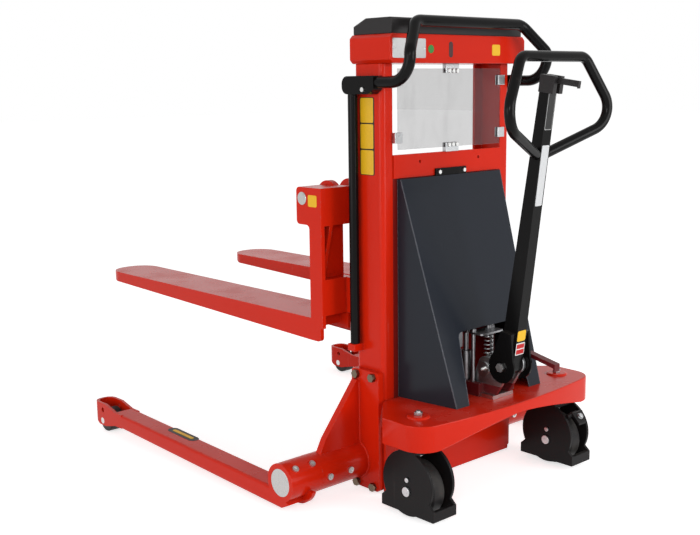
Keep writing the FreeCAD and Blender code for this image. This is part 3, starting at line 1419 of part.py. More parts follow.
def helix_spring(name, x, low, high):
    wire_radius = S.spring_wire.value
    coil = S.spring_radius.value
    rise = (high - low).value - wire_radius * 2
    steps = int(S.spring_turns.value * 4)
    climb = rise / (S.spring_turns.value * 2 * math.pi)
    base = Vec((x + S.mast_x).value, 0, low.value + wire_radius)

    def spot(turn):
        return base + Vec(coil * math.cos(turn), coil * math.sin(turn), climb * turn)

    def heading(turn):
        return Vec(-coil * math.sin(turn), coil * math.cos(turn), climb).normalize()

    turns = [index * math.pi * half_share for index in range(steps + 1)]
    edges = []
    for here, there in zip(turns, turns[1:]):
        edges += biarc(spot(here), heading(here), spot(there), heading(there))
    print("spring's least gap to itself", round(climb * 2 * math.pi - wire_radius * 2, 3))
    section = Part.Wire([Part.makeCircle(wire_radius, spot(0), heading(0))])
    return plain(name, Part.Wire(edges).makePipeShell([section], True, False))


node(helix_spring("pump_spring", -S.barrel_x, plunger_head_top, bridge_low), "pump_spring")

# Tiller: tapered box tube on the pivot, with the prongs that carry the press roller
low_d, low_w = S.tiller_low_depth * half_share, S.tiller_low_width * half_share
high_d, high_w = S.tiller_high_depth * half_share, S.tiller_high_width * half_share
shaft_low = rectangle((-low_d, low_d), (-low_w, low_w))
shaft_high = rectangle((-high_d, high_d), (-high_w, high_w))
tiller_shaft = loft("tiller_shaft", [(shaft_low, S.tiller_skirt), (shaft_high, S.tiller_length)], local=True)
foot_round_share = 0.9
tiller_foot = plate("tiller_foot", "xz", rectangle((-low_d, low_d), (-S.tiller_drop, S.tiller_skirt)),
                    (-low_w, low_w), rounds=[(S.tiller_drop * foot_round_share, (0, 1))], local=True)
cheek_flank_share = 0.95
cheek_flank = S.cheek_plate_radius * cheek_flank_share
cheek_outline = [(-cheek_flank, ZERO), (cheek_flank, ZERO), (S.cheek_plate_neck, S.cheek_plate_top),
                 (-S.cheek_plate_neck, S.cheek_plate_top)]
cheek_span = (-S.cheek_plate_outer, S.cheek_plate_outer)
tiller_cheeks = [block("tiller_spacer", (-S.cheek_plate_neck, S.cheek_plate_neck), cheek_span,
                       (S.cheek_spacer_low, S.cheek_plate_top), local=True)]
for index, side in enumerate(SIDES):
    span = (S.cheek_plate_inner, S.cheek_plate_outer)
    span = span if side > 0 else (-span[1], -span[0])
    tiller_cheeks.append(plate("tiller_cheek_%d" % index, "xz", cheek_outline, span, local=True))
    tiller_cheeks.append(rod("tiller_cheek_round_%d" % index, "y", (ZERO, ZERO), span, S.cheek_plate_radius,
                             local=True))


def lean(obj):
    obj.Placement = FreeCAD.Placement(Vec(), FreeCAD.Rotation(Vec(0, 1, 0), -S.tiller_lean.value))
    obj.setExpression("Placement.Rotation.Angle", (-S.tiller_lean).text)
    at(obj, (-S.pivot_x, ZERO, S.pivot_z))
    return obj


inset = S.tiller_wall
void_low = rectangle((inset - low_d, low_d - inset), (inset - low_w, low_w - inset))
void_high = rectangle((inset - high_d, high_d - inset), (inset - high_w, high_w - inset))
tiller_void = loft("tiller_void", [(void_low, S.tiller_skirt), (void_high, S.tiller_length)], local=True)
tiller_stem = lean(fuse("tiller_stem", [tiller_shaft, tiller_foot] + tiller_cheeks))
tiller_void = lean(group("tiller_void_placed", [tiller_void]))
prongs = []
for index, side in enumerate(SIDES):
    span = (S.prong_inner, S.prong_outer)
    span = span if side > 0 else (-span[1], -span[0])
    reach_x = S.arm_half_height * sine(S.arm_drop)
    reach_z = S.arm_half_height * cosine(S.arm_drop)
    outline = [(-S.pivot_x - reach_x, S.pivot_z - reach_z), (arm_x - reach_x, arm_z - reach_z),
               (arm_x + reach_x, arm_z + reach_z), (-S.pivot_x + reach_x, S.pivot_z + reach_z)]
    prongs.append(plate("prong_%d" % index, "xz", outline, span))
    prongs.append(rod("prong_end_%d" % index, "y", (arm_x, arm_z), span, S.arm_half_height))
tiller_raw = fuse("tiller_raw", [tiller_stem] + prongs)
prong_span = (-S.prong_outer, S.prong_outer)
tiller_tools = [tiller_void,
                rod("tiller_axle_hole", "y", pivot_spot, cheek_span, S.axle_radius + S.fit_gap),
                rod("tiller_roller_hole", "y", (arm_x, arm_z), prong_span, S.lever_pin_radius)]
node(cut("tiller_tube", tiller_raw, tiller_tools), "tiller_tube")
press = [rod("press_wheel", "y", (arm_x, arm_z), (-head_half, head_half), S.press_roller_radius),
         rod("press_pin", "y", (arm_x, arm_z), prong_span, S.lever_pin_radius)]
node(fuse("press_roller", press), "press_roller")

# Hand loop: one bent tube, bowed towards the operator at its widest
loop_half = [(-S.loop_foot_bow, S.loop_foot_y, S.loop_foot_z), (-S.loop_bow, S.loop_side_y, S.loop_side_z),
             (-S.loop_top_bow, S.loop_top_y, S.loop_top_z)]
loop_points = loop_half + [(x, -y, z) for x, y, z in reversed(loop_half)]
loop_bends = [S.loop_side_bend, S.loop_top_bend]
loop_raw = lean(bent_tube("loop_raw", loop_points, loop_bends + loop_bends[::-1], S.loop_radius, S.tube_wall,
                          local=True))
node(cut("handle_loop", loop_raw, [tiller_stem]), "handle_loop")

# Control head on the tube's top and the finger lever in its slot
head_box = block("head_box", (-S.head_box_rear, S.head_box_front), (-S.head_box_half, S.head_box_half),
                 (S.head_box_low, S.head_box_high), local=True)
lever_slot = block("lever_slot", (-S.head_box_rear, -high_d - S.air_gap),
                   (-S.lever_slot_half, S.lever_slot_half), (S.head_box_low, S.head_box_high), local=True)
room_d, room_w = high_d + S.air_gap, high_w + S.air_gap
shaft_room = block("shaft_room", (-room_d, room_d), (-room_w, room_w), (S.head_box_low, S.tiller_length),
                   local=True)
lever_spot = (-S.lever_x, S.lever_z)
lever_span = (-S.head_box_half, S.head_box_half)
head_pin_hole = rod("head_pin_hole", "y", lever_spot, lever_span, S.lever_pin_radius, local=True)
node(lean(cut("control_head", head_box, [lever_slot, shaft_room, head_pin_hole])), "control_head")
half_plate = S.lever_plate * half_share
lever_low = S.lever_z - half_plate
lever_high = S.lever_z + half_plate
lever_root = -S.lever_x + S.cap_wall
lever_outline = [(lever_root, lever_low), (lever_root, lever_high), (-S.lever_reach, lever_high),
                 (-S.lever_reach, lever_low - S.lever_hook),
                 (-S.lever_reach + S.lever_hook, lever_low - S.lever_hook),
                 (-S.lever_reach + S.lever_hook, lever_low), (-S.head_box_rear - S.lever_hook, lever_low)]
lever_arm = plate("lever_arm", "xz", lever_outline, (-S.lever_half, S.lever_half), local=True)
lever_pin = rod("lever_pin", "y", lever_spot, lever_span, S.lever_pin_radius - S.fit_gap, local=True)
node(lean(fuse("control_lever", [lever_arm, lever_pin])), "control_lever")

# Lowering pedal
pedal_lip_x = -S.pedal_tip_x + S.pedal_plate * half_share
pedal_outline = [(pedal_root, S.pedal_z - S.pedal_lug_radius), (pedal_root, S.pedal_z + S.pedal_lug_radius),
                 (-S.pedal_knee_x, S.pedal_knee_z + S.pedal_plate),
                 (-S.pedal_tip_x, S.pedal_tip_z + S.pedal_plate),
                 (-S.pedal_tip_x, S.pedal_tip_z - S.pedal_lip), (pedal_lip_x, S.pedal_tip_z - S.pedal_lip),
                 (pedal_lip_x, S.pedal_tip_z), (-S.pedal_knee_x, S.pedal_knee_z),
                 (pedal_heel, S.pedal_z - S.pedal_lug_radius)]
pedal_plate = plate("pedal_plate", "xz", pedal_outline, pedal_span)
pedal_hole = rod("pedal_hole", "y", pedal_spot, pedal_span, S.pedal_pin_radius + S.fit_gap)
node(cut("foot_pedal", pedal_plate, [pedal_hole]), "foot_pedal")


# Wedge cover: a ruled shell open at the bottom and towards the mast, with a trapezoid gate for the pump
def wedge(name, wall, top, front):
    low = [(front, -S.cover_top_half + wall), (front, S.cover_top_half - wall),
           (wall - S.cover_foot_rear, S.cover_foot_half - wall),
           (wall - S.cover_foot_rear, -S.cover_foot_half + wall)]
    high = [(front, -S.cover_top_half + wall), (front, S.cover_top_half - wall),
            (wall - S.cover_top_rear, S.cover_top_half - wall),
            (wall - S.cover_top_rear, -S.cover_top_half + wall)]
    return loft(name, [(low, S.pan_top), (high, top)])


cover_outer = wedge("cover_outer", ZERO, S.cover_top, -S.cover_front)
cover_inner = wedge("cover_inner", S.cover_wall, S.cover_top - S.cover_wall, ZERO)
gate_outline = [(-S.cover_gate_foot, S.foot_low), (S.cover_gate_foot, S.foot_low),
                (S.cover_gate_head, S.cover_gate_top), (-S.cover_gate_head, S.cover_gate_top)]
gate = plate("cover_gate", "yz", gate_outline, (-S.cover_foot_rear - S.cover_wall, -S.cover_gate_front),
             rounds=[(S.gusset_round, (2, 3))])
node(cut("pump_cover", cover_outer, [cover_inner, gate]), "pump_cover")
node(block("cover_hook", (-S.mid_beam_rear - S.hook_plate, -S.mid_beam_rear), (-S.hook_half, S.hook_half),
           (S.cover_top, S.cover_top + S.hook_height)), "cover_hook")

# Lowering valve: a zinc cylinder on the pump's base with a bent arm on top
valve_spot = (-S.valve_x, S.valve_y)
arm_under = S.valve_arm_top - S.valve_arm_plate
arm_outline = [(-S.valve_arm_rear, arm_under), (-S.valve_arm_front - S.valve_arm_plate, arm_under),
               (-S.valve_arm_front - S.valve_arm_plate, S.valve_arm_low),
               (-S.valve_arm_front, S.valve_arm_low),
               (-S.valve_arm_front, S.valve_arm_top), (-S.valve_arm_rear, S.valve_arm_top)]
valve = [rod("valve_barrel", "z", valve_spot, (pump_top, S.valve_top), S.valve_radius),
         rod("valve_post", "z", valve_spot, (S.valve_top, arm_under), S.valve_post_radius),
         plate("valve_arm", "xz", arm_outline, (S.valve_y - S.valve_arm_half, S.valve_y + S.valve_arm_half),
               rounds=[(S.valve_arm_round, (4,)), (S.valve_arm_round - S.valve_arm_plate, (1,))])]
node(fuse("lowering_valve", valve), "lowering_valve")

# Oil pipe from the pump to the lift cylinder
pipe_points = [(-S.pump_base_front, ZERO, S.pipe_low_z), (-S.pipe_step_x, ZERO, S.pipe_low_z),
               (-S.pipe_step_x, ZERO, S.pipe_high_z), (S.cylinder_x - S.cylinder_radius, ZERO, S.pipe_high_z)]
pipe_raw = bent_tube("pipe_raw", pipe_points, [S.pipe_bend, S.pipe_bend], S.pipe_radius)
node(cut("oil_pipe", pipe_raw, [tube]), "oil_pipe")

# Bolts, screws, the pump's foot plate and cam disc and the tiller's axle, all zinc plated
nut_face = S.axle_half + S.axle_nut
axle = [rod("axle_bar", "y", pivot_spot, (-S.axle_half, S.axle_half), S.axle_radius),
        hexagon("axle_nut_near", "y", pivot_spot, (S.axle_half, nut_face), S.axle_nut_radius),
        hexagon("axle_nut_far", "y", pivot_spot, (-nut_face, -S.axle_half), S.axle_nut_radius)]
cam_face = S.ear_outer + S.cam_plate
cam = [rod("cam_disc", "y", (-S.cam_x, S.cam_z), (S.ear_outer, cam_face), S.cam_radius),
       rod("cam_pin", "y", (-S.cam_x, S.cam_z), (cam_face, cam_face + S.cam_pin), S.cam_pin_radius)]
fasteners = [fuse("tiller_axle", axle), fuse("pump_cam", cam),
             block("pump_foot", (-S.ear_rear, -S.pump_base_rear), (-S.pump_foot_half, S.pump_foot_half),
                   (pump_low, foot_top))]
for index, side in enumerate(SIDES):
    for number, (x, z) in enumerate(bolt_spots):
        name = "flange_bolt_%d_%d" % (index, number)
        shank = (S.mast_half_width, flange_out)
        head = (flange_out, flange_out + S.bolt_head_height)
        shank, head = [pair if side > 0 else (-pair[1], -pair[0]) for pair in (shank, head)]
        fasteners.append(fuse(name, [rod(name + "_shank", "y", (x, z), shank, S.bolt_radius),
                                     hexagon(name + "_head", "y", (x, z), head, S.bolt_head_radius)]))
    for number, share in enumerate(bracket_screw_shares):
        y = side * (flange_out + share * (S.bracket_end - flange_out))
        fasteners.append(tube_screw("bracket_screw_%d_%d" % (index, number), bracket_screw_angle, y))
    head = (S.push_mount_out, S.push_mount_out + S.small_bolt_height)
    head = head if side > 0 else (-head[1], -head[0])
    fasteners.append(rod("push_bolt_%d" % index, "y", (S.push_bolt_x, S.push_bolt_z), head,
                         S.small_bolt_radius))
    hook_rear = -S.mid_beam_rear - S.hook_plate
    hook_middle = S.cover_top + S.hook_height * half_share
    fasteners.append(hexagon("hook_bolt_%d" % index, "x", (side * S.hook_bolt_y, hook_middle),
                             (hook_rear - S.small_bolt_height, hook_rear), S.small_bolt_radius))
clip_bolt_shares = (-0.6, 0.0, 0.6)
half_grip = S.clip_grip * half_share
for share in clip_bolt_shares:
    for height in (screen_high - half_grip, screen_low + half_grip):
        fasteners.append(hexagon("clip_bolt_%d" % len(fasteners), "x", (share * S.clip_half_width, height),
                                 (clip_rear - S.small_bolt_height, clip_rear), S.small_bolt_radius))
node(group("mast_fasteners", fasteners), "mast_fasteners")

# Check every object, then write one file per node
doc.recompute()
for obj in doc.Objects:
    if "Invalid" in obj.State or "Error" in obj.State:
        raise RuntimeError("%s is %s" % (obj.Name, obj.State))
os.makedirs("parts", exist_ok=True)
for label, obj in NODES:
    shape = obj.Shape
    if shape.isNull() or not shape.isValid() or not shape.Solids:
        raise RuntimeError("%s has a bad shape" % label)
    box = shape.BoundBox
    spans = (box.XMin, box.XMax, box.YMin, box.YMax, box.ZMin, box.ZMax)
    print("%-22s solids %2d volume %9.0f " % (label, len(shape.Solids), shape.Volume)
          + "x %7.1f %7.1f  y %7.1f %7.1f  z %7.1f %7.1f" % spans)
    shape.exportStep("parts/%s.step" % label)
print("nodes", len(NODES))
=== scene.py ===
"""Looks of a hand pallet stacker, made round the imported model.

Paint, plating, plastic, plates and welds come first, then the light and the camera.
"""
import json
import math

import bmesh
import bpy
from mathutils import Matrix, Vector
from mathutils.bvhtree import BVHTree

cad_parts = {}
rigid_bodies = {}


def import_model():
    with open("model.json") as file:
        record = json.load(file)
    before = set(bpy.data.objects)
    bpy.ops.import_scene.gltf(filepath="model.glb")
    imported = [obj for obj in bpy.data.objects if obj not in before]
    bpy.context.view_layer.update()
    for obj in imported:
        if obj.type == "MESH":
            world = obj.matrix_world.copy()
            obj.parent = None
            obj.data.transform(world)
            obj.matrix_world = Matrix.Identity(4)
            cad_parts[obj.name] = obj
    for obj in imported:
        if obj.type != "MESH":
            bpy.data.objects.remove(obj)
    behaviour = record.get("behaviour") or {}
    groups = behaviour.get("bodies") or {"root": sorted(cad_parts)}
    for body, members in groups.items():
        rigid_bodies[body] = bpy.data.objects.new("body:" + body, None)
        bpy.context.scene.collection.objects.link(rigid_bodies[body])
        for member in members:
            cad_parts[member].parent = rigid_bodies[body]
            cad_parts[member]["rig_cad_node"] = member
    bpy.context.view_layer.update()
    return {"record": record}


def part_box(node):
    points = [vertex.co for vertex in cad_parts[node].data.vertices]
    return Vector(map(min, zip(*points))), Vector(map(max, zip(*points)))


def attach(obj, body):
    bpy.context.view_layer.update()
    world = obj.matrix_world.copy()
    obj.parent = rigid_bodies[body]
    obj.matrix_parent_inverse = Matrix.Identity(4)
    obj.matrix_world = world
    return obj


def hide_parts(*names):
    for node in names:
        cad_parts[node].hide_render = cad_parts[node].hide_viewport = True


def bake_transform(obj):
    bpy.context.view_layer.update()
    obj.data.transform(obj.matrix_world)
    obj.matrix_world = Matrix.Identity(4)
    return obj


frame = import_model()

# The camera's place, aim and lens, worked out from the photograph, in metres and degrees
CAMERA_PLACE = (-2.4392, 2.18265, 1.11842)
CAMERA_HEADING = -42.14
CAMERA_DIP = 9.88
CAMERA_ROLL = 0.71
CAMERA_LENS_MM = 54.38

# Lamps: place, aim, width, height, watts
LAMPS = {
    "key_lamp": ((-3.3, -0.9, 1.2), (-0.3, 0.0, 0.6), 1.8, 1.4, 48.0),
    "fill_lamp": ((-0.2, 3.8, 1.0), (0.2, 0.0, 0.4), 2.6, 1.4, 34.0),
    "front_lamp": ((-2.3, 2.2, 1.5), (-0.4, 0.0, 0.6), 0.5, 0.5, 14.0),
}
# The room's light at the horizon and overhead, and the floor's own glow that keeps it white
HORIZON_LIGHT = 0.80
OVERHEAD_LIGHT = 0.38
FLOOR_LIFT = 0.66
FLOOR_HALF = 30.0
FLOOR_GREY = (0.82, 0.82, 0.82)
PURE_WHITE = (1.0, 1.0, 1.0)

# Colours, linear
RED = (0.60, 0.0160, 0.0028)
RED_DEEP = (0.50, 0.0110, 0.0020)
# Red darkened for the back plate: a painted shade standing in for red paint in shade
RED_PAINTED_SHADE = (0.19, 0.008, 0.006)
BLACK = (0.0046, 0.0043, 0.0044)
BLACK_DEEP = (0.003, 0.003, 0.0031)
CASTOR_BLACK = (0.0095, 0.0083, 0.0087)
PLASTIC_BLACK = (0.016, 0.014, 0.0145)
TREAD_BLACK = (0.016, 0.015, 0.015)
RUBBER_BLACK = (0.012, 0.011, 0.0115)
RUBBED_BLACK = (0.06, 0.06, 0.06)
ANTHRACITE = (0.0145, 0.0175, 0.0245)
ANTHRACITE_DEEP = (0.0120, 0.0148, 0.0210)
OXBLOOD = (0.11, 0.006, 0.008)
PRIMER = (0.22, 0.17, 0.15)
DUST = (0.40, 0.36, 0.31)
CORNER_SHADE_COLOUR = (0.030, 0.020, 0.016)
ZINC = (0.50, 0.51, 0.52)
# Zinc darkened for the pump parts inside the cover: a painted shade
ZINC_IN_PAINTED_SHADE = (0.29, 0.29, 0.30)
SCREW_BRIGHT = (0.64, 0.64, 0.63)
BOLT_BROWN = (0.15, 0.12, 0.085)
ALUMINIUM = (0.34, 0.34, 0.34)
STEEL = (0.46, 0.46, 0.45)
OIL_STEEL = (0.10, 0.095, 0.085)
CHROME = (0.75, 0.76, 0.78)
CHROME_FILM = (0.55, 0.55, 0.55)
SHEET_GREY = (0.095, 0.092, 0.097)
SHEET_EDGE = (0.55, 0.56, 0.58)
YELLOW = (0.80, 0.46, 0.012)
WHITE = (0.74, 0.74, 0.73)
GREEN = (0.03, 0.22, 0.03)
TAPE_WHITE = (0.62, 0.63, 0.64)
LABEL_BLACK = (0.010, 0.010, 0.010)
LABEL_RED = (0.50, 0.012, 0.012)
LABEL_DARK_RED = (0.055, 0.008, 0.008)
LABEL_SCUFF = (0.35, 0.33, 0.30)

# The way that the cover's side folds face, either side, and the width of the painted highlight along
# them
COVER_HIGHLIGHT_FOLD = (0.70, 0.69, 0.18)
FOLD_HIGHLIGHT_REACH = 0.005
# How far chipped paint reaches from an edge, and painted shade out of a corner
CHIP_REACH = 0.0035
CORNER_SHADE_REACH = 0.035
# How much of what lies behind it one face of the clear screen hides
SCREEN_SHARE = 0.25
# How far from the middle the leg brackets' flange bolts begin and end
FLANGE_BOLTS = (0.252, 0.290)
# The length over which one finish gives way to the next, on the screws and on the pump
BOLT_STEP = 0.0005
PUMP_STEP = 0.0004

SIDES = (1, -1)
SIDE_NAMES = {1: "left", -1: "right"}


class Value:
    """A socket that is used in sums like a number; each sum adds a Math node."""

    def __init__(self, finish, socket):
        self.finish = finish
        self.socket = socket

    def sum(self, operation, first, second):
        return self.finish.node("Math", {"operation": operation}, {0: first, 1: second})

    def __add__(self, other):
        return self.sum("ADD", self, other)

    def __radd__(self, other):
        return self.sum("ADD", other, self)

    def __sub__(self, other):
        return self.sum("SUBTRACT", self, other)

    def __rsub__(self, other):
        return self.sum("SUBTRACT", other, self)

    def __mul__(self, other):
        return self.sum("MULTIPLY", self, other)

    def __rmul__(self, other):
        return self.sum("MULTIPLY", other, self)

    def above(self, low, high):
        """0 below low, 1 above high, smooth between."""
        return self.finish.node("MapRange", {"interpolation_type": "SMOOTHSTEP"},
                                {"Value": self, "From Min": low, "From Max": high})


class Finish:
    """One material: node() adds its nodes, and surface() feeds its principled shader."""

    def __init__(self, name=None, tree=None):
        if tree is None:
            self.material = bpy.data.materials.new(name)
            self.material.use_nodes = True
            tree = self.material.node_tree
        self.tree = tree
        self.tree.nodes.clear()

    def node(self, kind, settings=None, inputs=None, out=0):
        made = self.tree.nodes.new("ShaderNode" + kind)
        for key, value in (settings or {}).items():
            setattr(made, key, value)
        for key, value in (inputs or {}).items():
            self.feed(made.inputs[key], value)
        return Value(self, made.outputs[out]) if made.outputs else None

    def feed(self, socket, value):
        if isinstance(value, Value):
            self.tree.links.new(value.socket, socket)
        elif isinstance(value, tuple) and socket.type == "RGBA":
            socket.default_value = (*value[:3], 1.0)
        else:
            socket.default_value = value

    def place(self):
        return self.node("TexCoord", out="Object")

    def along(self, axis):
        """The surface's place along X, Y or Z."""
        return self.node("SeparateXYZ", None, {0: self.place()}, out=axis)

    def stretched(self, factors):
        """The surface's place, with each axis multiplied."""
        return self.node("VectorMath", {"operation": "MULTIPLY"}, {0: self.place(), 1: factors})

    def dot(self, first, second):
        return self.node("VectorMath", {"operation": "DOT_PRODUCT"}, {0: first, 1: second},
                         out="Value")

    def cloud(self, scale, detail=2.0, where=None, roughness=0.5):
        inputs = {"Vector": where or self.place(), "Scale": scale, "Detail": detail,
                  "Roughness": roughness}
        return self.node("TexNoise", {"noise_dimensions": "3D"}, inputs)

    def cells(self, scale):
        return self.node("TexVoronoi", {"feature": "F1"},
                         {"Vector": self.place(), "Scale": scale})

    def facing(self, direction):
        """1 where the surface looks along the direction, -1 where it looks away."""
        return self.dot(self.node("NewGeometry", out="Normal"), direction)

    def rounded(self, radius):
        """The surface's normal, as if its edges were rounded."""
        return self.node("Bevel", {"samples": 4}, {"Radius": radius})

    def edge(self, radius):
        """1 on sharp edges, 0 on flats."""
        turn = self.dot(self.rounded(radius), self.node("NewGeometry", out="True Normal"))
        return (1.0 - turn).above(0.02, 0.22)

    def corner(self, reach):
        """1 deep in corners, 0 in the open."""
        open_share = self.node("AmbientOcclusion", {"samples": 4}, {"Distance": reach}, out="AO")
        return (1.0 - open_share).above(0.25, 0.85)

    def mix(self, share, first, second):
        """First colour where share is 0, second where it is 1."""
        return self.node("Mix", {"data_type": "RGBA"}, {"Factor": share, 6: first, 7: second},
                         out=2)

    def bump(self, height, strength, distance):
        inputs = {"Height": height, "Strength": strength, "Distance": distance}
        return self.node("Bump", None, inputs, out="Normal")

    def white_rays(self):
        """Above 0 for the rays that see the plain white background."""
        camera_ray, glossy_ray, through_ray = (
            self.node("LightPath", out=kind)
            for kind in ("Is Camera Ray", "Is Glossy Ray", "Is Transmission Ray"))
        return camera_ray + glossy_ray + through_ray

    def surface(self, **sockets):
        inputs = {key.replace("_", " "): value for key, value in sockets.items()}
        shader = self.node("BsdfPrincipled", None, inputs)
        self.node("OutputMaterial", None, {"Surface": shader})
        return self.material


def scaled(colour, factor, lift=0.0):
    return tuple(min(1.0, part * factor + lift) for part in colour)


def painted(name, colour, deep, gloss, peel, wear, dusting, shine, highlight_fold=None):
    """Powder coat: orange peel, chipped edges under a painted edge highlight, a painted highlight
    along chosen folds, dust on top, painted shade in corners broken into patches.
    """
    f = Finish(name)
    broad = f.cloud(2.3, 3.0)
    speck = f.cloud(85.0, 5.0, roughness=0.65)
    skin = f.cloud(300.0, 2.0)
    streak = f.cloud(1.0, 4.0, where=f.stretched((90.0, 90.0, 5.0)))
    edge = f.edge(CHIP_REACH)
    chip = (edge * speck.above(0.50, 0.62) * wear).above(0.30, 0.55)
    # Painted shade: darker in corners from ambient occlusion, broken into patches by noise
    corner_shade = f.corner(CORNER_SHADE_REACH) * f.cloud(26.0, 4.0).above(0.30, 0.75)
    upward = f.facing((0.0, 0.0, 1.0)).above(0.55, 1.0)
    dust = upward * f.cloud(9.0, 6.0).above(0.42, 0.75) * dusting
    scuff = (streak.above(0.62, 0.70) * f.cloud(7.0, 3.0).above(0.52, 0.68)) * wear
    base = f.mix((broad - 0.35) * 0.9, colour, deep)
    # Every edge painted lighter than the flats: a painted edge highlight
    base = f.mix(edge * 0.30, base, scaled(colour, 1.3, 0.012))
    base = f.mix(scuff * 0.12, base, PRIMER)
    # Painted highlight: a lighter line along the folds that face the given way, where light would
    # glint
    if highlight_fold:
        across = f.node("VectorMath", {"operation": "ABSOLUTE"}, {0: f.rounded(FOLD_HIGHLIGHT_REACH)})
        lightened = f.dot(across, highlight_fold).above(0.88, 0.98)
        base = f.mix(lightened * 0.8, base, scaled(colour, 4.0, 0.16))
    base = f.mix(corner_shade * 0.45, base, CORNER_SHADE_COLOUR)
    base = f.mix(dust * 0.16, base, DUST)
    base = f.mix(chip * 0.60, base, PRIMER)
    rough = gloss + (broad - 0.5) * 0.10 + dust * 0.22 + scuff * 0.12 + chip * 0.25
    height = skin * peel + speck * (peel * 0.3) - chip * 0.9
    return f.surface(Base_Color=base, Roughness=rough, Specular_IOR_Level=shine,
                     Normal=f.bump(height, 0.10, 0.0005))


def moulded(name, colour, gloss, grain, shine):
    """Moulded plastic: fine spark-eroded grain, worn shiny and lighter in places."""
    f = Finish(name)
    texture = f.cells(grain)
    lightened = f.cloud(14.0, 4.0).above(0.45, 0.75)
    edge = f.edge(0.0018)
    base = f.mix(lightened * 0.20 + edge * 0.35, colour, scaled(colour, 1.9, 0.004))
    # Painted shade: darker in corners from ambient occlusion
    base = f.mix(f.corner(0.02) * 0.20, base, CORNER_SHADE_COLOUR)
    rough = gloss - lightened * 0.14 - edge * 0.08
    return f.surface(Base_Color=base, Roughness=rough, Specular_IOR_Level=shine,
                     Normal=f.bump(texture, 0.12, 0.0004))


def plated(name, colour, gloss, tarnish):
    """Zinc plate or bare metal: cloudy brightness, fine scratches, painted shade in corners."""
    f = Finish(name)
    cloud = f.cloud(120.0, 4.0)
    hair = f.cloud(1.0, 3.0, where=f.stretched((900.0, 900.0, 60.0)))
    # Painted shade in corners from ambient occlusion, with tarnish from the cloud
    shade_and_tarnish = f.corner(0.012) * 0.8 + cloud.above(0.5, 0.8) * tarnish
    base = f.mix(shade_and_tarnish, colour, scaled(colour, 0.30))
    rough = gloss + cloud * 0.14 + shade_and_tarnish * 0.25
    return f.surface(Base_Color=base, Metallic=1.0, Roughness=rough,
                     Normal=f.bump(hair + cloud * 0.4, 0.10, 0.0003))


def screw_heads():
    """Screw heads: brown passivated on the leg brackets' flanges, bright zinc elsewhere."""
    f = Finish("screw_heads")
    aside = f.node("Math", {"operation": "ABSOLUTE"}, {0: f.along("Y")})
    first, last = FLANGE_BOLTS
    flange = aside.above(first - BOLT_STEP, first) - aside.above(last, last + BOLT_STEP)
    cloud = f.cloud(120.0, 4.0)
    # Painted shade in corners from ambient occlusion, with tarnish from the cloud
    shade_and_tarnish = f.corner(0.004) * 0.6 + cloud.above(0.5, 0.8) * 0.15
    base = f.mix(shade_and_tarnish, f.mix(flange, SCREW_BRIGHT, BOLT_BROWN), scaled(ZINC, 0.2))
    return f.surface(Base_Color=base, Metallic=1.0, Roughness=0.26 + cloud * 0.12 + shade_and_tarnish * 0.2,
                     Normal=f.bump(cloud, 0.08, 0.0003))


def turned(name, colour, gloss):
    """Drawn or turned bar: fine rings round the bar and the odd rub mark."""
    f = Finish(name)
    rings = f.cloud(1.0, 2.0, where=f.stretched((70.0, 1400.0, 70.0)))
    mark = f.cloud(38.0, 5.0).above(0.55, 0.75)
    base = f.mix(mark * 0.5, colour, scaled(colour, 0.55))
    return f.surface(Base_Color=base, Metallic=1.0, Roughness=gloss + rings * 0.12 + mark * 0.15,
                     Normal=f.bump(rings, 0.12, 0.0003))


def oiled_chain():
    """Leaf chain: dark oiled plates, bright where they rub."""
    f = Finish("oiled_chain")
    film = f.cloud(160.0, 4.0)
    rub = f.edge(0.0012) * film.above(0.35, 0.6)
    base = f.mix(rub * 0.8, OIL_STEEL, STEEL)
    return f.surface(Base_Color=base, Metallic=0.9, Roughness=0.30 + film * 0.2 - rub * 0.1,
                     Normal=f.bump(film, 0.15, 0.0003))


def hard_chrome():
    """Ground and chromed piston rod under a thin oil film."""
    f = Finish("hard_chrome")
    film = f.cloud(45.0, 3.0)
    base = f.mix(film.above(0.4, 0.8), CHROME, CHROME_FILM)
    return f.surface(Base_Color=base, Metallic=1.0, Roughness=0.06 + film * 0.10,
                     Normal=f.bump(film, 0.04, 0.0002))


def tread(name, colour, gloss, shine):
    """Wheel tread: matt, dusty where it rolls, with fine grit."""
    f = Finish(name)
    grit = f.cloud(420.0, 4.0)
    film = f.cloud(18.0, 5.0).above(0.40, 0.75)
    base = f.mix(film * 0.08, colour, DUST)
    base = f.mix(f.edge(0.002) * 0.25, base, RUBBED_BLACK)
    return f.surface(Base_Color=base, Roughness=gloss + film * 0.15, Specular_IOR_Level=shine,
                     Normal=f.bump(grit, 0.20, 0.0005))


def clear_sheet():
    """Polycarbonate guard: hazy from wiping, with fine marks and brighter edges."""
    f = Finish("hazy_sheet")
    wipe = f.cloud(1.0, 4.0, where=f.stretched((6.0, 26.0, 9.0))).above(0.45, 0.8)
    edge = f.edge(0.002)
    return f.surface(Base_Color=f.mix(edge, SHEET_GREY, SHEET_EDGE),
                     Roughness=0.16 + wipe * 0.12, Specular_IOR_Level=0.3,
                     Alpha=SCREEN_SHARE + wipe * 0.04 + edge * 0.25,
                     Normal=f.bump(wipe, 0.05, 0.0004))


def vinyl(name, colour):
    """Plain label stock: faint mottling, scuffed here and there."""
    f = Finish(name)
    mottle = f.cloud(60.0, 4.0)
    rub = f.cloud(300.0, 3.0).above(0.58, 0.75)
    base = f.mix(mottle * 0.25, colour, scaled(colour, 0.75))
    base = f.mix(rub * 0.10, base, LABEL_SCUFF)
    return f.surface(Base_Color=base, Roughness=0.38 + mottle * 0.12, Specular_IOR_Level=0.3,
                     Normal=f.bump(mottle, 0.08, 0.0004))


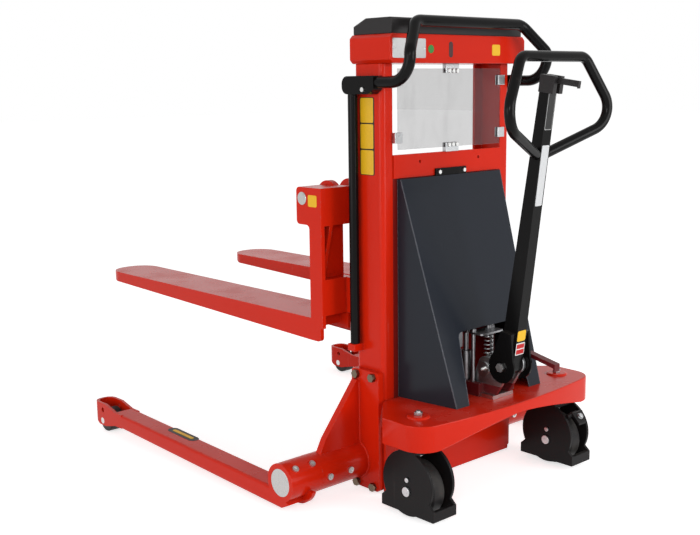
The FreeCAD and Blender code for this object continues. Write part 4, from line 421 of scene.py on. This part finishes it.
def reflector(name, colour):
    """Reflective tape: small cells under a clear skin."""
    f = Finish(name)
    cell = f.cells(420.0)
    mottle = f.cloud(40.0, 4.0)
    share = cell.above(0.0, 0.9) * 0.30 + mottle * 0.15
    base = f.mix(share, colour, scaled(colour, 0.62))
    return f.surface(Base_Color=base, Roughness=0.26 + mottle * 0.12, Specular_IOR_Level=0.4,
                     Normal=f.bump(cell, 0.10, 0.0003))


def pump_casting(split_height):
    """Pump unit: block below the split height painted dark red, a painted shade standing in for red
    paint in shade; zinc plate and pivot ears above it.
    """
    f = Finish("pump_casting")
    above = f.along("Z").above(split_height, split_height + PUMP_STEP)
    cloud = f.cloud(110.0, 4.0)
    speck = f.cloud(85.0, 5.0, roughness=0.65)
    chip = (f.edge(0.003) * speck.above(0.46, 0.60)).above(0.30, 0.55)
    # Painted shade: darker in corners from ambient occlusion, on the paint and on the zinc
    corner_shade = f.corner(0.02) * 0.7
    metal = f.mix(cloud.above(0.5, 0.8) * 0.3 + corner_shade, ZINC, scaled(ZINC, 0.30))
    # The block's dark red is a painted shade of the red paint
    paint = f.mix(chip * 0.8 + corner_shade * 0.2, OXBLOOD, PRIMER)
    return f.surface(Base_Color=f.mix(above, paint, metal), Metallic=above,
                     Roughness=0.40 - above * 0.10 + cloud * 0.14,
                     Normal=f.bump(cloud + speck * 0.4, 0.10, 0.0004))


red_paint = painted("red_powder_coat", RED, RED_DEEP,
                    gloss=0.23, peel=0.4, wear=0.55, dusting=0.5, shine=0.13)
red_paint_in_painted_shade = painted("red_powder_coat_painted_shade", RED_PAINTED_SHADE, scaled(RED_PAINTED_SHADE, 0.7),
                      gloss=0.36, peel=0.5, wear=0.30, dusting=0.5, shine=0.10)
black_paint = painted("black_powder_coat", BLACK, BLACK_DEEP,
                      gloss=0.20, peel=0.4, wear=0.30, dusting=0.35, shine=0.09)
castor_paint = painted("castor_black", CASTOR_BLACK, BLACK,
                       gloss=0.30, peel=0.6, wear=0.35, dusting=0.35, shine=0.11)
anthracite_paint = painted("anthracite_powder_coat", ANTHRACITE, ANTHRACITE_DEEP, gloss=0.24,
                           peel=0.35, wear=0.20, dusting=0.30, shine=0.15, highlight_fold=COVER_HIGHLIGHT_FOLD)
oxblood_paint = painted("oxblood_paint", OXBLOOD, scaled(OXBLOOD, 0.7),
                        gloss=0.34, peel=0.6, wear=1.0, dusting=0.6, shine=0.15)
black_plastic = moulded("black_moulding", PLASTIC_BLACK, gloss=0.46, grain=900.0, shine=0.22)
zinc = plated("zinc_plate", ZINC, gloss=0.22, tarnish=0.35)
zinc_in_painted_shade = plated("zinc_plate_in_painted_shade", ZINC_IN_PAINTED_SHADE, gloss=0.30, tarnish=0.35)
fastener_zinc = screw_heads()
aluminium = plated("bare_aluminium_plate", ALUMINIUM, gloss=0.30, tarnish=0.12)
bright_steel = turned("turned_steel", STEEL, gloss=0.20)
chain_steel = oiled_chain()
chrome = hard_chrome()
roller_tread = tread("roller_tread", TREAD_BLACK, gloss=0.46, shine=0.2)
wheel_rubber = tread("wheel_rubber", RUBBER_BLACK, gloss=0.50, shine=0.16)
screen = clear_sheet()
yellow_vinyl = vinyl("plain_yellow_vinyl", YELLOW)
black_vinyl = vinyl("plain_black_vinyl", LABEL_BLACK)
white_vinyl = vinyl("plain_white_vinyl", WHITE)
red_vinyl = vinyl("plain_red_vinyl", LABEL_RED)
dark_vinyl = vinyl("plain_dark_red_vinyl", LABEL_DARK_RED)
green_vinyl = vinyl("plain_green_vinyl", GREEN)
yellow_tape = reflector("yellow_reflective_tape", YELLOW)
white_tape = reflector("white_reflective_tape", TAPE_WHITE)

FINISH_OF_SLOT = {
    "red_paint": red_paint,
    "black_paint": black_paint,
    "black_plastic": black_plastic,
    "anthracite_paint": anthracite_paint,
    "dark_red_paint": oxblood_paint,
    "clear_screen": screen,
    "zinc": zinc,
    "bright_steel": bright_steel,
    "chrome_rod": chrome,
    "grey_paint": black_paint,
    "wheel_tread": roller_tread,
}


def pair(stem):
    """The names of a piece's left and right."""
    return tuple(stem + "_" + SIDE_NAMES[side] for side in SIDES)


# Nodes that look different from the rest of their material slot
PUMP_BLOCK_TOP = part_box("lowering_valve")[0][2]
FINISH_OF_NODES = (
    (castor_paint, (*pair("castor_housing"), "castor_brake")),
    (wheel_rubber, pair("castor_wheel")),
    (fastener_zinc, (*pair("leg_fasteners"), "mast_fasteners")),
    # Darker zinc inside the cover: a painted shade
    (zinc_in_painted_shade, ("spring_bridge", "lowering_valve")),
    # Darker red on the back plate: a painted shade inside the cover
    (red_paint_in_painted_shade, ("back_plate",)),
    (chain_steel, ("chain_wrap",)),
    (pump_casting(PUMP_BLOCK_TOP), ("pump_body",)),
)

# Edge radius of each kind of piece, in metres
EDGE_ROUND = {
    0.0040: ("pump_cover",),
    0.0030: (*pair("mast_upright"), "top_beam", "mid_beam", *pair("leg_bracket"), *pair("fork"),
             *pair("leg"), "top_cap", "mast_foot"),
    0.0020: ("carriage_frame", *pair("castor_housing"), "tiller_tube", "push_bar_mounts",
             "pump_body", *pair("castor_wheel"), *pair("load_roller"), "control_head",
             "foot_pedal"),
    0.0010: ("back_plate", "screen_clamps", "castor_kingpins", "mast_fasteners",
             *pair("leg_fasteners"), "cover_hook", "spring_bridge", "lowering_valve",
             "control_lever", "castor_brake", *pair("castor_axle"), "chain_head", "fork_bar",
             *pair("straddle_bar"), "pump_plunger", "guard_screen"),
}
SAME_POINT = 1e-5
FLAT_DEGREES = 0.05
SHARP_DEGREES = 35.0
SMOOTH_DEGREES = 42.0
EASE_SEGMENTS = 3


def dress(obj, finish):
    obj.data.materials.clear()
    obj.data.materials.append(finish)


def smooth_shading():
    """Smooth faces with sharp edges kept where the surface turns hard."""
    group = bpy.data.node_groups.new("smooth_shading", "GeometryNodeTree")
    for way in ("INPUT", "OUTPUT"):
        group.interface.new_socket("Geometry", in_out=way, socket_type="NodeSocketGeometry")
    start = group.nodes.new("NodeGroupInput")
    finish = group.nodes.new("NodeGroupOutput")
    shade = group.nodes.new("GeometryNodeSetMeshNormal")
    shade.mode = "SHARPNESS"
    shade.inputs["Remove Custom"].default_value = True
    angle = group.nodes.new("GeometryNodeInputMeshEdgeAngle")
    hard = group.nodes.new("FunctionNodeCompare")
    hard.data_type = "FLOAT"
    hard.operation = "GREATER_THAN"
    hard.inputs[1].default_value = math.radians(SMOOTH_DEGREES)
    group.links.new(start.outputs[0], shade.inputs["Mesh"])
    group.links.new(angle.outputs[0], hard.inputs[0])
    group.links.new(hard.outputs[0], shade.inputs["Edge Sharpness"])
    group.links.new(shade.outputs[0], finish.inputs[0])
    return group


SMOOTHING = smooth_shading()


def soft_shade(obj):
    """Smooth shading that leaves the flats flat."""
    shade = obj.modifiers.new("shade", "NODES")
    shade.node_group = SMOOTHING
    level = obj.modifiers.new("level", "WEIGHTED_NORMAL")
    level.keep_sharp = True


def ease_edges(obj, radius):
    """Rounds a piece's sharp edges so that they catch the light."""
    weld = obj.modifiers.new("weld", "WELD")
    weld.merge_threshold = SAME_POINT
    flats = obj.modifiers.new("flats", "DECIMATE")
    flats.decimate_type = "DISSOLVE"
    flats.angle_limit = math.radians(FLAT_DEGREES)
    ease = obj.modifiers.new("ease", "BEVEL")
    ease.width = radius
    ease.segments = EASE_SEGMENTS
    ease.limit_method = "ANGLE"
    ease.angle_limit = math.radians(SHARP_DEGREES)
    soft_shade(obj)


NODES = {o["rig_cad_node"]: o for o in bpy.context.scene.objects if "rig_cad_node" in o}
for part in frame["record"]["subparts"]:
    dress(NODES[part["node"]], FINISH_OF_SLOT[part["material_slot"]])
for node_finish, names in FINISH_OF_NODES:
    for name in names:
        dress(NODES[name], node_finish)
for edge_radius, names in EDGE_ROUND.items():
    for name in names:
        ease_edges(NODES[name], edge_radius)


def shown(name, mesh, finish):
    """A new piece in the scene."""
    piece = bpy.data.objects.new(name, mesh)
    bpy.context.scene.collection.objects.link(piece)
    dress(piece, finish)
    return piece


def mesh_of(name, form, smooth=False):
    bmesh.ops.recalc_face_normals(form, faces=form.faces)
    for face in form.faces:
        face.smooth = smooth
    mesh = bpy.data.meshes.new(name)
    form.to_mesh(mesh)
    form.free()
    return mesh


def corners(node):
    """A node's lowest and highest corners."""
    return tuple(Vector(corner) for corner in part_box(node))


def middle(node):
    low, high = corners(node)
    return (low + high) / 2


def springy(node, finish):
    """A copy of a stretching node, shown in its place while the node is hidden."""
    piece = shown(node + "_stretch", NODES[node].data.copy(), finish)
    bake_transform(piece)
    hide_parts(node)


springy("chain_fixed_run", chain_steel)
springy("chain_carriage_run", chain_steel)
springy("pump_spring", zinc)

# Plates and tape stand this proud of their seats and sink this deep into them
PLATE_PROUD = 0.0007
PLATE_SINK = 0.0004
CORNER_STEPS = 6
ROUND_STEPS = 28
HEXAGON = 6

# The right and up directions of a face, seen from outside
REAR_FACE = (Vector((0.0, -1.0, 0.0)), Vector((0.0, 0.0, 1.0)))
LEFT_FACE = (Vector((-1.0, 0.0, 0.0)), Vector((0.0, 0.0, 1.0)))
TOP_FACE = (Vector((1.0, 0.0, 0.0)), Vector((0.0, 1.0, 0.0)))


def seat(node, start, direction):
    """Where a line first meets a CAD piece, and the way that the piece faces there."""
    mesh = NODES[node].data
    faces = [face.vertices for face in mesh.polygons]
    tree = BVHTree.FromPolygons([point.co for point in mesh.vertices], faces)
    spot, normal, _, _ = tree.ray_cast(Vector(start), Vector(direction))
    return spot, normal


def skin_rings(form, rings, loop=False):
    """Joins rings of points by strips of faces: round to the first ring, or with closed ends."""
    count = len(rings[0])
    following = rings[1:] + rings[:1] if loop else rings[1:]
    for lower, upper in zip(rings, following):
        for index in range(count):
            after = (index + 1) % count
            form.faces.new((lower[index], lower[after], upper[after], upper[index]))
    if not loop:
        form.faces.new(rings[-1])
        form.faces.new(rings[0][::-1])


def plate(name, body, finish, centre, axes, size, corner, taper=1.0):
    """A thin plate with rounded corners, seated on a face with these right and up directions."""
    right, up = axes
    out = right.cross(up)
    half_width, half_height = size[0] / 2, size[1] / 2
    corner = min(corner, half_width, half_height)
    outline = []
    for quarter, (x_sign, y_sign) in enumerate(((1, 1), (-1, 1), (-1, -1), (1, -1))):
        for step in range(CORNER_STEPS + 1):
            angle = math.radians(90.0 * (quarter + step / CORNER_STEPS))
            x = x_sign * (half_width - corner) + corner * math.cos(angle)
            y = y_sign * (half_height - corner) + corner * math.sin(angle)
            share = (y + half_height) / size[1]
            outline.append((x * (taper + (1.0 - taper) * share), y))
    form = bmesh.new()
    ease = PLATE_PROUD / 2
    rings = []
    for depth, level in ((0.0, -PLATE_SINK), (0.0, PLATE_PROUD - ease), (ease, PLATE_PROUD)):
        wide, tall = 1.0 - depth / half_width, 1.0 - depth / half_height
        rings.append([form.verts.new(Vector(centre) + right * x * wide + up * y * tall + out * level)
                      for x, y in outline])
    skin_rings(form, rings)
    piece = shown(name, mesh_of(name, form), finish)
    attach(piece, body)


def button(name, body, finish, centre, axes, rows, around=ROUND_STEPS):
    """A round piece on a face, from rows of radius and height, with a flat top."""
    right, up = axes
    out = right.cross(up)
    rays = [right * math.cos(turn) + up * math.sin(turn)
            for turn in (math.tau * index / around for index in range(around))]
    form = bmesh.new()
    rings = [[form.verts.new(Vector(centre) + out * level + ray * reach) for ray in rays]
             for reach, level in rows]
    skin_rings(form, rings)
    piece = shown(name, mesh_of(name, form, smooth=True), finish)
    soft_shade(piece)
    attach(piece, body)


def dome(name, body, finish, centre, axes, radius, height):
    """A domed rivet head on a face."""
    steps, last_turn = 6, 84.0
    turns = [math.radians(last_turn * step / steps) for step in range(steps + 1)]
    rows = [(radius * math.cos(turn), height * math.sin(turn)) for turn in turns]
    button(name, body, finish, centre, axes, [(radius, -PLATE_SINK)] + rows)


# Welds: thickness of the bead, length of one scale, and how finely they are made
BEAD_RADIUS = 0.0042
BEAD_PITCH = 0.0062
BEAD_STEPS = 5
BEAD_AROUND = 10
# A direction that no weld follows, to turn its cross section by
BEAD_TURN = Vector((0.31, 0.53, 0.79))


def bead(name, body, points, closed=False):
    """A weld: scale after scale of frozen metal along a path, painted over."""
    path = [Vector(point) for point in points]
    if closed:
        path.append(path[0])
    runs = [(after - before).length for before, after in zip(path, path[1:])]
    total = sum(runs)
    steps = max(8, int(total / BEAD_PITCH * BEAD_STEPS))
    turns = [math.tau * index / BEAD_AROUND for index in range(BEAD_AROUND)]
    form = bmesh.new()
    rings = []
    for step in range(steps if closed else steps + 1):
        reach = total * step / steps
        scale_share = (reach / BEAD_PITCH) % 1.0
        index = 0
        while index < len(runs) - 1 and reach > runs[index]:
            reach -= runs[index]
            index += 1
        along = (path[index + 1] - path[index]).normalized()
        spot = path[index] + along * min(reach, runs[index])
        side = along.cross(BEAD_TURN).normalized()
        rise = along.cross(side)
        swell = BEAD_RADIUS * (0.80 + 0.28 * (1.0 - scale_share))
        end = min(step, steps - step) / steps * total
        if not closed and end < BEAD_RADIUS:
            swell *= 0.35 + 0.65 * math.sqrt(end / BEAD_RADIUS)
        rings.append([form.verts.new(spot + (side * math.cos(turn) + rise * math.sin(turn)) * swell)
                      for turn in turns])
    skin_rings(form, rings, loop=closed)
    piece = shown(name, mesh_of(name, form, smooth=True), red_paint)
    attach(piece, body)


# The platform's form, in metres from the mast's rear plane, its middle and the floor
SHOULDER = 0.105
PLATFORM_HALF = 0.365
EAR_REAR = 0.248
EAR_ROUND = 0.063
EAR_TURN = 81.0
EAR_STEPS = 16
REAR_BOW = 0.272
BOW_STEPS = 24
PLATFORM_PLATE = 0.008
RIM_WALL = 0.006
RIM_EDGE = 0.004
RIM_LIP = 0.001
RIM_LOW = 0.197
ARCH_HIGH = 0.240
ARCH_HALF = 0.300
ARCH_POWER = 1.5
# The share of the way from the mast to the shoulder at which the rim has its full depth
RIM_START = 0.06
# Raised rings under the kingpins: radius and height, from the platform upwards
BOSS_ROWS = ((0.031, -PLATE_SINK), (0.031, 0.0), (0.029, 0.0030), (0.027, 0.0046), (0.024, 0.0050))


def platform_outline(front, neck):
    """The platform from above: mast edge, shoulders, round ears and a bowed rear edge."""
    ear = Vector((EAR_ROUND - EAR_REAR, PLATFORM_HALF - EAR_ROUND))
    corner, shoulder = Vector((front, neck)), Vector((-SHOULDER, PLATFORM_HALF))
    line = [corner, corner.lerp(shoulder, RIM_START), shoulder]
    for step in range(EAR_STEPS + 1):
        angle = math.radians(90.0 + EAR_TURN * step / EAR_STEPS)
        line.append(ear + Vector((math.cos(angle), math.sin(angle))) * EAR_ROUND)
    last = line[-1]
    for step in range(1, BOW_STEPS + 1):
        share = 1.0 - step / BOW_STEPS
        line.append(Vector((-REAR_BOW + (REAR_BOW + last.x) * share ** 2, last.y * share)))
    return line + [Vector((spot.x, -spot.y)) for spot in reversed(line[:-1])]


def inset(outline, depth):
    """An outline moved inwards along its own normals."""
    moved = []
    befores, afters = outline[-1:] + outline[:-1], outline[1:] + outline[:1]
    for before, spot, after in zip(befores, outline, afters):
        first, second = (spot - before).normalized(), (after - spot).normalized()
        normal = Vector((-first.y - second.y, first.x + second.x)).normalized()
        moved.append(spot + normal * depth / max(0.5, normal.dot(Vector((-first.y, first.x)))))
    return moved


def platform():
    """Pressed rear platform: bowed rear edge, rim deepest at the ears, raised kingpin bosses."""
    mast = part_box("mast_upright_left")[0][0]
    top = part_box("pump_body")[0][2]
    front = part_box("base_platform")[1][0] - mast
    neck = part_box("mast_foot")[1][1]
    under = top - PLATFORM_PLATE
    outline = platform_outline(front, neck)

    def rim(spot):
        if spot.x > front - RIM_LIP:
            return under - 2 * RIM_LIP
        if spot.x > EAR_ROUND - EAR_REAR:
            return RIM_LOW
        share = min(1.0, abs(spot.y) / ARCH_HALF) ** ARCH_POWER
        return ARCH_HIGH + (RIM_LOW - ARCH_HIGH) * share

    # Rings from the underside out over the rim and up to the top: how far inside, and how high
    ease = RIM_EDGE * (1.0 - math.sqrt(0.5))
    levels = (
        (RIM_WALL, lambda spot: under),
        (RIM_WALL, lambda spot: rim(spot) + RIM_LIP),
        (RIM_WALL - RIM_LIP, rim),
        (RIM_LIP, rim),
        (0.0, lambda spot: rim(spot) + RIM_LIP),
        (0.0, lambda spot: top - RIM_EDGE),
        (ease, lambda spot: top - ease),
        (RIM_EDGE, lambda spot: top),
    )
    form = bmesh.new()
    rings = [[form.verts.new((mast + moved.x, moved.y, height(spot)))
              for spot, moved in zip(outline, inset(outline, depth))] for depth, height in levels]
    skin_rings(form, rings)
    pan = shown("platform_pan", mesh_of("platform_pan", form, smooth=True), red_paint)
    soft_shade(pan)
    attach(pan, "base")
    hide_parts("base_platform")
    axle = middle("castor_axle_left")
    for side in SIDES:
        button("platform_boss_" + SIDE_NAMES[side], "base", red_paint,
               (axle.x, side * axle.y, top), TOP_FACE, BOSS_ROWS)


# The brake's bolt: how far aside it sits, where its seat is sought from, rows of radius and height
BRAKE_BOLT_ASIDE = 0.006
OVER_BRAKE = 0.1
BRAKE_WASHER = ((0.0095, -PLATE_SINK), (0.0095, 0.0012), (0.0090, 0.0018))
BRAKE_HEAD = ((0.0080, 0.0), (0.0080, 0.0062), (0.0066, 0.0072))


def brake_bolt():
    """Washer and hexagon head on the wheel brake's sloping pad."""
    slope = Vector((1.0, 0.0, -1.0)).normalized()
    right = Vector((0.0, -1.0, 0.0))
    start = middle("castor_brake") + right * BRAKE_BOLT_ASIDE - slope * OVER_BRAKE
    centre, normal = seat("castor_brake", start, slope)
    axes = (right, normal.cross(right))
    button("brake_washer", "castor_brake", zinc, centre, axes, BRAKE_WASHER)
    button("brake_bolt", "castor_brake", zinc, centre, axes, BRAKE_HEAD, around=HEXAGON)


# Pieces on the top beam's rear: slot, finish, place in shares of the beam, size, corner
BEAM_PATCHES = {
    "data_plate": ("zinc", aluminium, (0.128, 0.507), (0.122, 0.050), 0.004),
    "green_dot": ("red_paint", green_vinyl, (0.278, 0.487), (0.022, 0.022), 0.011),
    "dark_patch": ("red_paint", dark_vinyl, (0.421, 0.480), (0.016, 0.042), 0.008),
    "beam_yellow_patch": ("red_paint", yellow_vinyl, (0.765, 0.487), (0.034, 0.030), 0.005),
}
# The data plate's rivets: shares of the beam either side of its middle, radius and height
RIVET_SHIFT = 0.104
RIVET_RADIUS = 0.0030
RIVET_HEIGHT = 0.0022


def beam_plates():
    """Bare data plate with rivets, and plain patches, on the rear of the top beam."""
    low, high = corners("top_beam")

    def spot(across, up):
        return Vector((low.x, high.y - across * (high.y - low.y), low.z + up * (high.z - low.z)))

    for name, (slot, finish, place, size, corner) in BEAM_PATCHES.items():
        plate(name, "base", finish, spot(*place), REAR_FACE, size, corner)
    across, up = BEAM_PATCHES["data_plate"][2]
    for number, shift in enumerate((-RIVET_SHIFT, RIVET_SHIFT)):
        dome("data_plate_rivet_%d" % number, "base", zinc, spot(across + shift, up),
             REAR_FACE, RIVET_RADIUS, RIVET_HEIGHT)


# The strip on the left upright, in metres, and its place as a share of the upright's depth
STRIP_WIDTH = 0.056
STRIP_LOW = 0.877
STRIP_HIGH = 1.082
STRIP_PLACE = 0.528
STRIP_PANELS = 3
STRIP_MARGIN = 0.0035


def upright_strip():
    """Framed yellow reflective strip on the left upright: bare panels in a dark frame."""
    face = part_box("leg_bracket_left")[0][1]
    low, high = corners("mast_upright_left")
    x = low.x + (high.x - low.x) * STRIP_PLACE
    tall = STRIP_HIGH - STRIP_LOW
    plate("strip_frame", "base", black_vinyl,
          (x, face, (STRIP_LOW + STRIP_HIGH) / 2), LEFT_FACE, (STRIP_WIDTH, tall), 0.006)
    height = tall / STRIP_PANELS
    for number in range(STRIP_PANELS):
        centre = (x, face + PLATE_PROUD, STRIP_LOW + height * (number + 0.5))
        plate("strip_panel_%d" % number, "base", yellow_tape, centre, LEFT_FACE,
              (STRIP_WIDTH - 2 * STRIP_MARGIN, height - STRIP_MARGIN), 0.004)


# The boss patch's place from the fork bar's middle, rearwards and down, and its size
BOSS_PATCH_SHIFT = Vector((-0.043, 0.0, -0.005))
BOSS_PATCH_SIZE = (0.036, 0.032)


def fork_patch():
    """Plain yellow patch on the near fork's boss."""
    centre = middle("fork_bar") + BOSS_PATCH_SHIFT
    centre.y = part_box("fork_left")[1][1]
    plate("boss_patch", "fork_left", yellow_vinyl, centre, LEFT_FACE,
          BOSS_PATCH_SIZE, 0.005)


# The leg patch's place along the leg, its size, its middle's size, and where its seat is sought from
LEG_PATCH_X = 0.186
LEG_PATCH_SIZE = (0.142, 0.034)
LEG_PATCH_MIDDLE = (0.104, 0.012)
OVER_LEGS = 0.5


def leg_patch():
    """Oval dark patch with a yellow middle on each straddle leg."""
    for leg in pair("leg"):
        start = (LEG_PATCH_X, middle(leg).y, OVER_LEGS)
        centre, normal = seat(leg, start, (0.0, 0.0, -1.0))
        up = Vector((0.0, -1.0, 0.0))
        axes = (up.cross(normal).normalized(), up)
        plate(leg + "_patch", leg, black_vinyl, centre, axes,
              LEG_PATCH_SIZE, LEG_PATCH_SIZE[1] / 2)
        plate(leg + "_patch_middle", leg, yellow_vinyl,
              centre + normal * PLATE_PROUD, axes, LEG_PATCH_MIDDLE, 0.005)


# The tiller's pivot, lean and taper, in metres
TILLER_PIVOT = Vector((-0.670, 0.0, 0.362))
TILLER_LEAN = math.radians(8.4)
TILLER_HALF_DEPTH = 0.024
TILLER_TAPER_START = 0.040
TILLER_TAPER_SHARE = 0.010 / 0.728
# Heights over the pivot of the plates on its rear, and the red bands' shift from the middle
STRIP_AT = 0.525
DARK_PLATE_AT = 0.692
YELLOW_PATCH_AT = 0.091
WHITE_PATCH_AT = 0.054
RED_BAND_SHIFT = 0.0078


def tiller_plates():
    """Reflective strip, dark plate and plain patches on the rear of the tiller."""
    axis = Vector((-math.sin(TILLER_LEAN), 0.0, math.cos(TILLER_LEAN)))
    ahead = Vector((math.cos(TILLER_LEAN), 0.0, math.sin(TILLER_LEAN)))
    axes = (Vector((0.0, -1.0, 0.0)), (axis + ahead * TILLER_TAPER_SHARE).normalized())

    def stick(name, finish, height, size, corner, layer=0, shift=0.0, taper=1.0):
        depth = TILLER_HALF_DEPTH - TILLER_TAPER_SHARE * (height - TILLER_TAPER_START)
        centre = TILLER_PIVOT + axis * height - ahead * (depth + layer * PLATE_PROUD)
        plate(name, "tiller", finish, centre + axes[1] * shift, axes, size, corner, taper)

    stick("tiller_strip", white_tape, STRIP_AT, (0.029, 0.158), 0.003, taper=0.93)
    stick("tiller_dark_plate", aluminium, DARK_PLATE_AT, (0.029, 0.098), 0.003)
    stick("tiller_dark_field", black_vinyl, DARK_PLATE_AT, (0.025, 0.094), 0.002,
          layer=1)
    stick("tiller_yellow_patch", yellow_vinyl, YELLOW_PATCH_AT, (0.034, 0.030), 0.005)
    stick("tiller_white_patch", white_vinyl, WHITE_PATCH_AT, (0.036, 0.034), 0.003)
    for number, shift in enumerate((-RED_BAND_SHIFT, RED_BAND_SHIFT)):
        stick("tiller_red_patch_%d" % number, red_vinyl, WHITE_PATCH_AT,
              (0.031, 0.0125), 0.001, layer=1, shift=shift)


# The leg bracket's flange thickness, its gusset's two faces from its rear, and where their welds end
FLANGE_THICKNESS = 0.020
GUSSET_FACES = (0.075, 0.095)
GUSSET_WELD_TOP = 0.312
WELD_RING_STEPS = 64


def bracket_welds():
    """Weld runs between each leg bracket's flange, gusset and clamp tube."""
    for side in SIDES:
        name = SIDE_NAMES[side]
        low, high = corners("leg_bracket_" + name)
        axle = middle("straddle_bar_" + name)
        radius = high.x - axle.x
        face = (low.y if side > 0 else high.y) + side * FLANGE_THICKNESS
        turns = [math.tau * step / WELD_RING_STEPS for step in range(WELD_RING_STEPS)]
        ring = [(axle.x + radius * math.cos(turn), face, axle.z + radius * math.sin(turn))
                for turn in turns]
        bead("bracket_tube_weld_" + name, "base", ring, closed=True)
        for number, gusset_face in enumerate(GUSSET_FACES):
            x = low.x + gusset_face
            foot = axle.z + math.sqrt(radius ** 2 - (x - axle.x) ** 2)
            bead("gusset_weld_%s_%d" % (name, number), "base",
                 [(x, face, foot), (x, face, GUSSET_WELD_TOP)])


platform()
brake_bolt()
beam_plates()
upright_strip()
fork_patch()
leg_patch()
tiller_plates()
bracket_welds()


def aimed(holder, place, aim):
    """Puts a lamp in its place, looking at a point."""
    holder.location = place
    holder.rotation_euler = (Vector(aim) - Vector(place)).to_track_quat("-Z", "Y").to_euler()
    bpy.context.scene.collection.objects.link(holder)


def studio():
    """A pale floor, a white room and soft lamps."""
    form = bmesh.new()
    bmesh.ops.create_grid(form, x_segments=1, y_segments=1, size=FLOOR_HALF)
    f = Finish("floor")
    matt = f.node("BsdfDiffuse", None, {"Color": FLOOR_GREY})
    lift = f.white_rays() * FLOOR_LIFT
    glow = f.node("Emission", None, {"Color": PURE_WHITE, "Strength": lift})
    f.node("OutputMaterial", None, {"Surface": f.node("AddShader", None, {0: matt, 1: glow})})
    shown("floor", mesh_of("floor", form), f.material)

    world = bpy.data.worlds.new("room")
    bpy.context.scene.world = world
    world.use_nodes = True
    room = Finish(tree=world.node_tree)
    plain = room.white_rays().above(0.0, 1.0)
    way = room.node("TexCoord", out="Generated")
    up = room.node("SeparateXYZ", None, {0: way}, out="Z").above(0.0, 1.0)
    light = HORIZON_LIGHT + up * (OVERHEAD_LIGHT - HORIZON_LIGHT)
    strength = plain + (1.0 - plain) * light
    sky = room.node("Background", None, {"Color": PURE_WHITE, "Strength": strength})
    room.node("OutputWorld", None, {"Surface": sky})

    for name, (place, aim, width, height, watts) in LAMPS.items():
        lamp = bpy.data.lights.new(name, "AREA")
        lamp.shape = "RECTANGLE"
        lamp.energy = watts
        lamp.size = width
        lamp.size_y = height
        holder = bpy.data.objects.new(name, lamp)
        holder.visible_camera = False
        aimed(holder, place, aim)


def camera():
    """The photograph's viewpoint."""
    data = bpy.data.cameras.new("camera")
    data.lens = CAMERA_LENS_MM
    holder = bpy.data.objects.new("camera", data)
    bpy.context.scene.collection.objects.link(holder)
    heading, dip, roll = (math.radians(a) for a in (CAMERA_HEADING, CAMERA_DIP, CAMERA_ROLL))
    flat = math.cos(dip)
    ahead = Vector((math.cos(heading) * flat, math.sin(heading) * flat, -math.sin(dip)))
    level = ahead.cross(Vector((0.0, 0.0, 1.0))).normalized()
    below = ahead.cross(level)
    right = level * math.cos(roll) + below * math.sin(roll)
    down = below * math.cos(roll) - level * math.sin(roll)
    turn = Matrix((right, -down, -ahead)).transposed().to_quaternion()
    holder.matrix_world = Matrix.LocRotScale(Vector(CAMERA_PLACE), turn, Vector((1.0, 1.0, 1.0)))
    bpy.context.scene.camera = holder


studio()
camera()
bpy.context.scene.view_settings.view_transform = "Standard"
